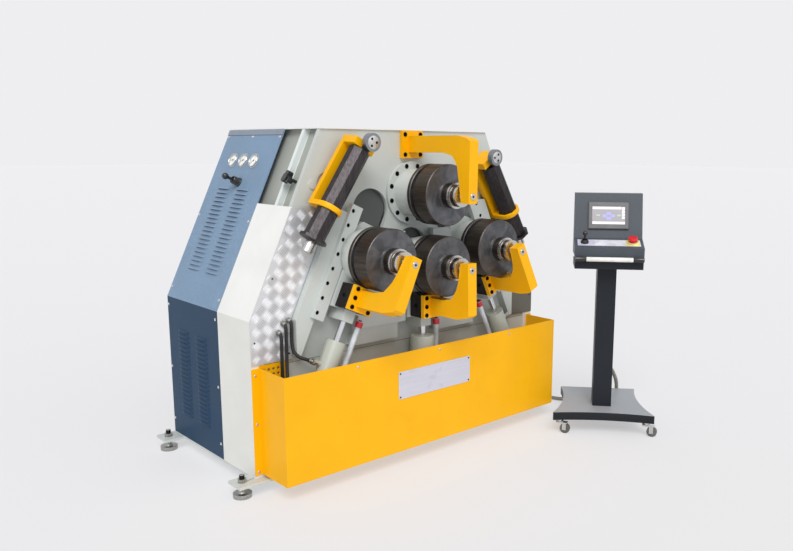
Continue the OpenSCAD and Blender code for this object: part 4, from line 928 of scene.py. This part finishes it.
def make_guide_faces():
    for side, mirror in ENDS.items():
        foot = mirror @ GUIDE @ move(0, 0, -GUIDE_DROP[side])
        seat = mirror @ GUIDE @ move(0, DISC_FRONT, DISC_Z - GUIDE_DROP[side]) @ FACE_FRONT
        face, holes, sleeve = Piece(), Piece(), Piece()
        r, t = DISC_FACE_R, DISC_FACE_T
        face.lathe([(r, 0), (r, t - 0.4), (r - 0.6, t), (0, t)], seat, 48)
        for k in range(DISC_SCREWS):
            spot = seat @ turn("Z", DISC_SCREW_START + k * 360 / DISC_SCREWS) @ move(DISC_SCREW_AT, 0, t)
            holes.lathe([(5.4, 0), (5.4, 0.4), (5, 0.6), (0, 0.6)], spot)
        face.done(side + "_disc_face", side + "_guide_wheel", "roller_steel", BRIGHT)
        holes.done(side + "_disc_screws", side + "_guide_wheel", "black_steel", BOLT)
        r, top, end, n = SLEEVE_R, SLEEVE_TOP, SLEEVE_END, SLEEVE_SIDES
        rows = [(r - 0.4, top, n), (r, top - 1, n), (r, end, n), (r - 1.6, end - 1, n), (0, end - 1)]
        sleeve.lathe(rows, foot)
        sleeve.done(side + "_stub_sleeve", side + "_guide", "roller_steel", BRIGHT, sharp=SLEEVE_SHARP)


make_guide_faces()


# Cover plates that travel with the slides behind the slots of the front plate; their darker grey is painted
# shade of the slots.

COVER_HALF, COVER_Y = 88, (222, 227)
COVER_Z = {"left": (84, 300), "centre": (84, 160), "right": (84, 300)}


def make_slot_covers():
    for side in SIDES:
        piece = Piece()
        low, high = COVER_Z[side]
        piece.box((-COVER_HALF, COVER_Y[0], low), (COVER_HALF, COVER_Y[1], high), SLIDE[side])
        piece.done(side + "_slot_cover", side + "_slide", "cream_paint", SLOT_COVER_SHADE, edge=THIN_EDGE)


make_slot_covers()


# Sensors, tray fittings and feet

SENSOR_SIDE = {"left": 1, "centre": 1, "right": -1}
SENSOR_X, SENSOR_Y, SENSOR_TOP, SENSOR_R, CAP_R, CAP_H, CAP_EASE = 80, 112, -268, 13, 16.4, 26, 0.5
BARREL_Y, PORT_R, NUT_FROM, NUT_TO, NUT_WALL, NUT_EASE, NUT_SHARP = 118, 11, 60, 75, 2.4, 0.1, 25
PORTS = {"left": (-669, -489), "centre": (-624, -444), "right": (-669, -443)}


def make_sensor_caps():
    caps, plugs = Piece(), Piece()
    r, low, high = CAP_R, -CAP_EASE, CAP_H + CAP_EASE
    for side in SIDES:
        seat = SLIDE[side] @ move(SENSOR_SIDE[side] * SENSOR_X, SENSOR_Y, SENSOR_TOP - CAP_H)
        caps.lathe([(SENSOR_R, low), (r, low), (r, high - 2.5), (r - 2, high), (0, high)], seat, 32)
        plugs.lathe([(0, CAP_H), (8, CAP_H), (8, CAP_H + 5), (6, CAP_H + 7), (0, CAP_H + 7)], seat)
    caps.done("sensor_caps", "machine", "sensor_white", CAP_RED)
    plugs.done("sensor_plugs", "machine", "black_plastic", FINISHES["black_plastic"])


def make_port_nuts():
    piece = Piece()
    hole, flat = PORT_R + NUT_EASE, PORT_R + NUT_WALL
    rows = [(hole, NUT_FROM), (flat, NUT_FROM, 6), (flat, NUT_TO, 6), (hole, NUT_TO)]
    for side, heights in PORTS.items():
        for z in heights:
            piece.lathe(rows, SLIDE[side] @ move(0, BARREL_Y, z) @ turn("Y", -90 * SENSOR_SIDE[side]), 36)
    piece.done("port_nuts", "machine", "zinc_steel", BRIGHT, sharp=NUT_SHARP)


PLATE_X, PLATE_Z, PLATE_T, PLATE_ROUND, ROUND_STEPS, PLATE_EDGE = (-236, 192), (314, 438), 2, 8, 5, 0.6
RIVET, RIVET_IN = dome_head(4, 2.4), 9
TRAY_SCREW, TRAY_SCREWS, TRAY_SCREW_Z = dome_head(6, 3), (-450, 5, 460), 500


def make_tray_fittings():
    plate, rivets, screws = Piece(), Piece(), Piece()
    x0, x1, z0, z1 = *PLATE_X, *PLATE_Z
    r = PLATE_ROUND
    outline = []
    corners = ((x1 - r, z0 + r), (x1 - r, z1 - r), (x0 + r, z1 - r), (x0 + r, z0 + r))
    for quarter, (x, z) in enumerate(corners):
        for k in range(ROUND_STEPS + 1):
            angle = math.radians(90 * (quarter - 1 + k / ROUND_STEPS))
            outline.append((x + r * math.cos(angle), z + r * math.sin(angle)))
    plate.prism(outline, 0, PLATE_T, FACE_FRONT)
    plate.done("blank_plate", "machine", "zinc_steel", PLATE, edge=PLATE_EDGE)
    for x in (x0 + RIVET_IN, x1 - RIVET_IN):
        for z in (z0 + RIVET_IN, z1 - RIVET_IN):
            rivets.lathe(RIVET, FACE_FRONT @ move(x, z, PLATE_T))
    rivets.done("plate_rivets", "machine", "black_steel", BOLT)
    for x in TRAY_SCREWS:
        screws.lathe(TRAY_SCREW, FACE_FRONT @ move(x, TRAY_SCREW_Z, 0))
    screws.done("tray_screws", "machine", "zinc_steel", BRIGHT)


FOOT_X, FOOT_YS = 889, (200, 900)
THREAD_Z, THREAD_PITCH, THREAD_R, THREAD_DEEP, THREAD_TIP = (78, 94), 2.5, 10.2, 0.9, 9


def make_foot_threads():
    piece = Piece()
    low, high = THREAD_Z
    turns = int((high - low) / THREAD_PITCH)
    rows = [(THREAD_R + THREAD_DEEP * (k % 2), low + k * THREAD_PITCH / 2) for k in range(2 * turns)]
    for s in (-1, 1):
        for y in FOOT_YS:
            end = high - 0.5
            piece.lathe([(0, low)] + rows + [(THREAD_TIP, end), (0, end)], move(s * FOOT_X, y, 0))
    piece.done("foot_threads", "machine", "zinc_steel", BOLT)


make_sensor_caps()
make_port_nuts()
make_tray_fittings()
make_foot_threads()


# Console

SCREEN_MID = math.dist(SCREEN_TOP, DESK_HIGH) / 2
SCREEN_W, SCREEN_H, SCREEN_T, BEZEL_IN, BEZEL_T = 98, 67.5, 10, 3, 2.5
GLASS_W, GLASS_H, GLASS_T, PATCH_T = 80, 45, 0.3, 0.8
ARROWS, ARROW_W, ARROW_H = ((0, 9), (-20, -3), (20, -3), (0, -15)), 10, 7
KEYS, KEY_PITCH = 4, 15


def make_display():
    """Bezel and plain lit patches: two bars, a column of keys, four arrows and two lamps."""
    seat = SCREEN @ move(0, SCREEN_MID, SCREEN_T)
    bezel = Piece()
    w, h = SCREEN_W - BEZEL_IN, SCREEN_H - BEZEL_IN
    for s in (-1, 1):
        for low, high in (((-w, GLASS_H), (w, h)), ((-w, -GLASS_H), (-GLASS_W, GLASS_H))):
            bezel.box((*low, 0), (*high, BEZEL_T), seat @ turn("Z", 90 - 90 * s))
    bezel.done("display_bezel", "machine", "black_plastic", BEZEL)
    keys = [((64, 29 - KEY_PITCH * k), (77, 40 - KEY_PITCH * k)) for k in range(KEYS)]
    patches = {
        "grey": [((-GLASS_W, -GLASS_H), (GLASS_W, GLASS_H))],
        "white": [((-78, 31), (60, 42)), ((-78, -43), (78, -32))] + keys,
        "blue": [((x - ARROW_W, y - ARROW_H), (x + ARROW_W, y + ARROW_H)) for x, y in ARROWS],
        "green": [((-60, -4), (-42, 4)), ((40, -4), (58, 4))],
    }
    for name, rows in patches.items():
        piece = Piece()
        rise = GLASS_T if name == "grey" else PATCH_T
        for low, high in rows:
            piece.box((*low, 0), (*high, rise), seat)
        piece.done("display_" + name, "machine", "black_plastic", LIT[name])


STRIP_X, STRIP_SPLIT, STRIP_Y, STRIP_T = 150, -68, (24, 94), 0.8
STOP_X, STICK_X, DESK_MID = 113, -116, 57.7
FIELD_HALF, FIELD_Y, FIELD_T = 33, (27, 91), 1.2
STICK_RIBS, STICK_PITCH, STICK_TAPER = 3, 3, 2


def make_desk():
    strip, side, patch, ring, boot = (Piece() for _ in range(5))
    strip.box((STRIP_SPLIT, STRIP_Y[0], 0), (STRIP_X, STRIP_Y[1], STRIP_T), DESK)
    strip.done("desk_strip", "machine", "handle_white", STRIP)
    side.box((-STRIP_X, STRIP_Y[0], 0), (STRIP_SPLIT, STRIP_Y[1], STRIP_T), DESK)
    side.done("desk_strip_left", "machine", "handle_white", LAVENDER)
    low = STOP_X - FIELD_HALF, FIELD_Y[0], STRIP_T
    patch.box(low, (STOP_X + FIELD_HALF, FIELD_Y[1], FIELD_T), DESK)
    patch.done("stop_field", "machine", "handle_white", SAFETY)
    rows = [(26, FIELD_T), (26, 8.4), (25.2, 9.2), (13, 9.2)]
    ring.lathe(rows, DESK @ move(STOP_X, DESK_MID, 0), 40)
    ring.done("stop_collar", "machine", "stop_red", SAFETY)
    rows = [(19.5, STRIP_T), (19.5, 5), (18.6, 9.2)]
    for k in range(STICK_RIBS):
        inset, rise = STICK_TAPER * k, STICK_PITCH * k
        rows += [(18 - inset, 10 + rise), (16.4 - inset, 11.6 + rise)]
    boot.lathe(rows, DESK @ move(STICK_X, DESK_MID, 0), 36)
    boot.done("stick_boot", "machine", "hose_rubber", FINISHES["hose_rubber"])


HANDLE_END, HANDLE_Y, HANDLE_Z = 162, 14, -9
POST_X, POST_HALF, POST_T, POST_BACK = 135, 12, 6.4, 59.8


def make_handle_ends():
    piece = Piece()
    bar = CONSOLE @ move(0, 0, HEAD_Z + HANDLE_Z)
    for s in (-1, 1):
        seat = bar @ move(s * HANDLE_END, HANDLE_Y, 0) @ turn("Y", -90 * s)
        piece.lathe([(0, 0), (11, 0), (12.6, 2), (12.6, 50), (11.4, 52), (11.2, 52)], seat, 32)
        x = s * POST_X
        piece.box((x - POST_HALF, HANDLE_Y, -POST_T), (x + POST_HALF, POST_BACK, POST_T), bar)
    piece.done("handle_ends", "machine", "black_plastic", FINISHES["black_plastic"])


make_display()
make_desk()
make_handle_ends()


# Studio: pale floor and backdrop, soft lamps

PALE = linear(238, 238, 240)
SKY, SKY_STRENGTH = (0.97, 0.98, 1.0, 1), 0.46
FLOOR_HALF, FLOOR_MATT, FLOOR_LIT, FLOOR_GLOSS = 60, 0.45, 0.535, 0.1


def make_sky():
    """Backdrop colour for the camera and for reflections, softer light for all else."""
    world = bpy.data.worlds.new("studio")
    world.use_nodes = True
    tree = world.node_tree
    tree.nodes.clear()
    out = tree.nodes.new("ShaderNodeOutputWorld")
    seen = tree.nodes.new("ShaderNodeBackground")
    seen.inputs["Color"].default_value = PALE
    light = tree.nodes.new("ShaderNodeBackground")
    light.inputs["Color"].default_value = SKY
    light.inputs["Strength"].default_value = SKY_STRENGTH
    path = tree.nodes.new("ShaderNodeLightPath")
    shown = path.outputs["Is Camera Ray"]
    for ray in ("Is Glossy Ray", "Is Transmission Ray"):
        either = tree.nodes.new("ShaderNodeMath")
        either.operation = "MAXIMUM"
        tree.links.new(shown, either.inputs[0])
        tree.links.new(path.outputs[ray], either.inputs[1])
        shown = either.outputs[0]
    pick = tree.nodes.new("ShaderNodeMixShader")
    tree.links.new(shown, pick.inputs[0])
    tree.links.new(light.outputs[0], pick.inputs[1])
    tree.links.new(seen.outputs[0], pick.inputs[2])
    tree.links.new(pick.outputs[0], out.inputs["Surface"])
    bpy.context.scene.world = world


def make_floor():
    """Floor that gives off part of its own light, so that shadows and yellow bounce stay faint."""
    data = bpy.data.meshes.new("floor")
    size = FLOOR_HALF
    corners = [(-size, -size, 0), (size, -size, 0), (size, size, 0), (-size, size, 0)]
    data.from_pydata(corners, [], [(0, 1, 2, 3)])
    floor = bpy.data.objects.new("floor", data)
    bpy.context.scene.collection.objects.link(floor)
    finish = Finish("pale_floor", PALE, 0.7)
    matt = shade(PALE, FLOOR_MATT)
    finish.colour(finish.mix(finish.noise(3, 2), matt, shade(matt, 0.99)))
    finish.set("Emission Color", PALE)
    finish.set("Emission Strength", FLOOR_LIT)
    finish.set("Specular IOR Level", FLOOR_GLOSS)
    data.materials.append(finish.material)


def sun(name, azimuth, elevation, strength, softness, color=(1, 1, 1)):
    """Even light from one side of the sky; azimuth 0 comes from the front and 90 from the right."""
    data = bpy.data.lights.new(name, "SUN")
    data.energy = strength
    data.angle = math.radians(softness)
    data.color = color
    thing = bpy.data.objects.new(name, data)
    bpy.context.scene.collection.objects.link(thing)
    thing.matrix_world = turn("Z", azimuth) @ turn("X", 90 - elevation)


make_sky()
make_floor()
sun("key", azimuth=-42, elevation=46, strength=1.9, softness=34, color=(1, 0.99, 0.975))
sun("front", azimuth=10, elevation=35, strength=0.4, softness=70)
bpy.context.scene.view_settings.view_transform = "Standard"
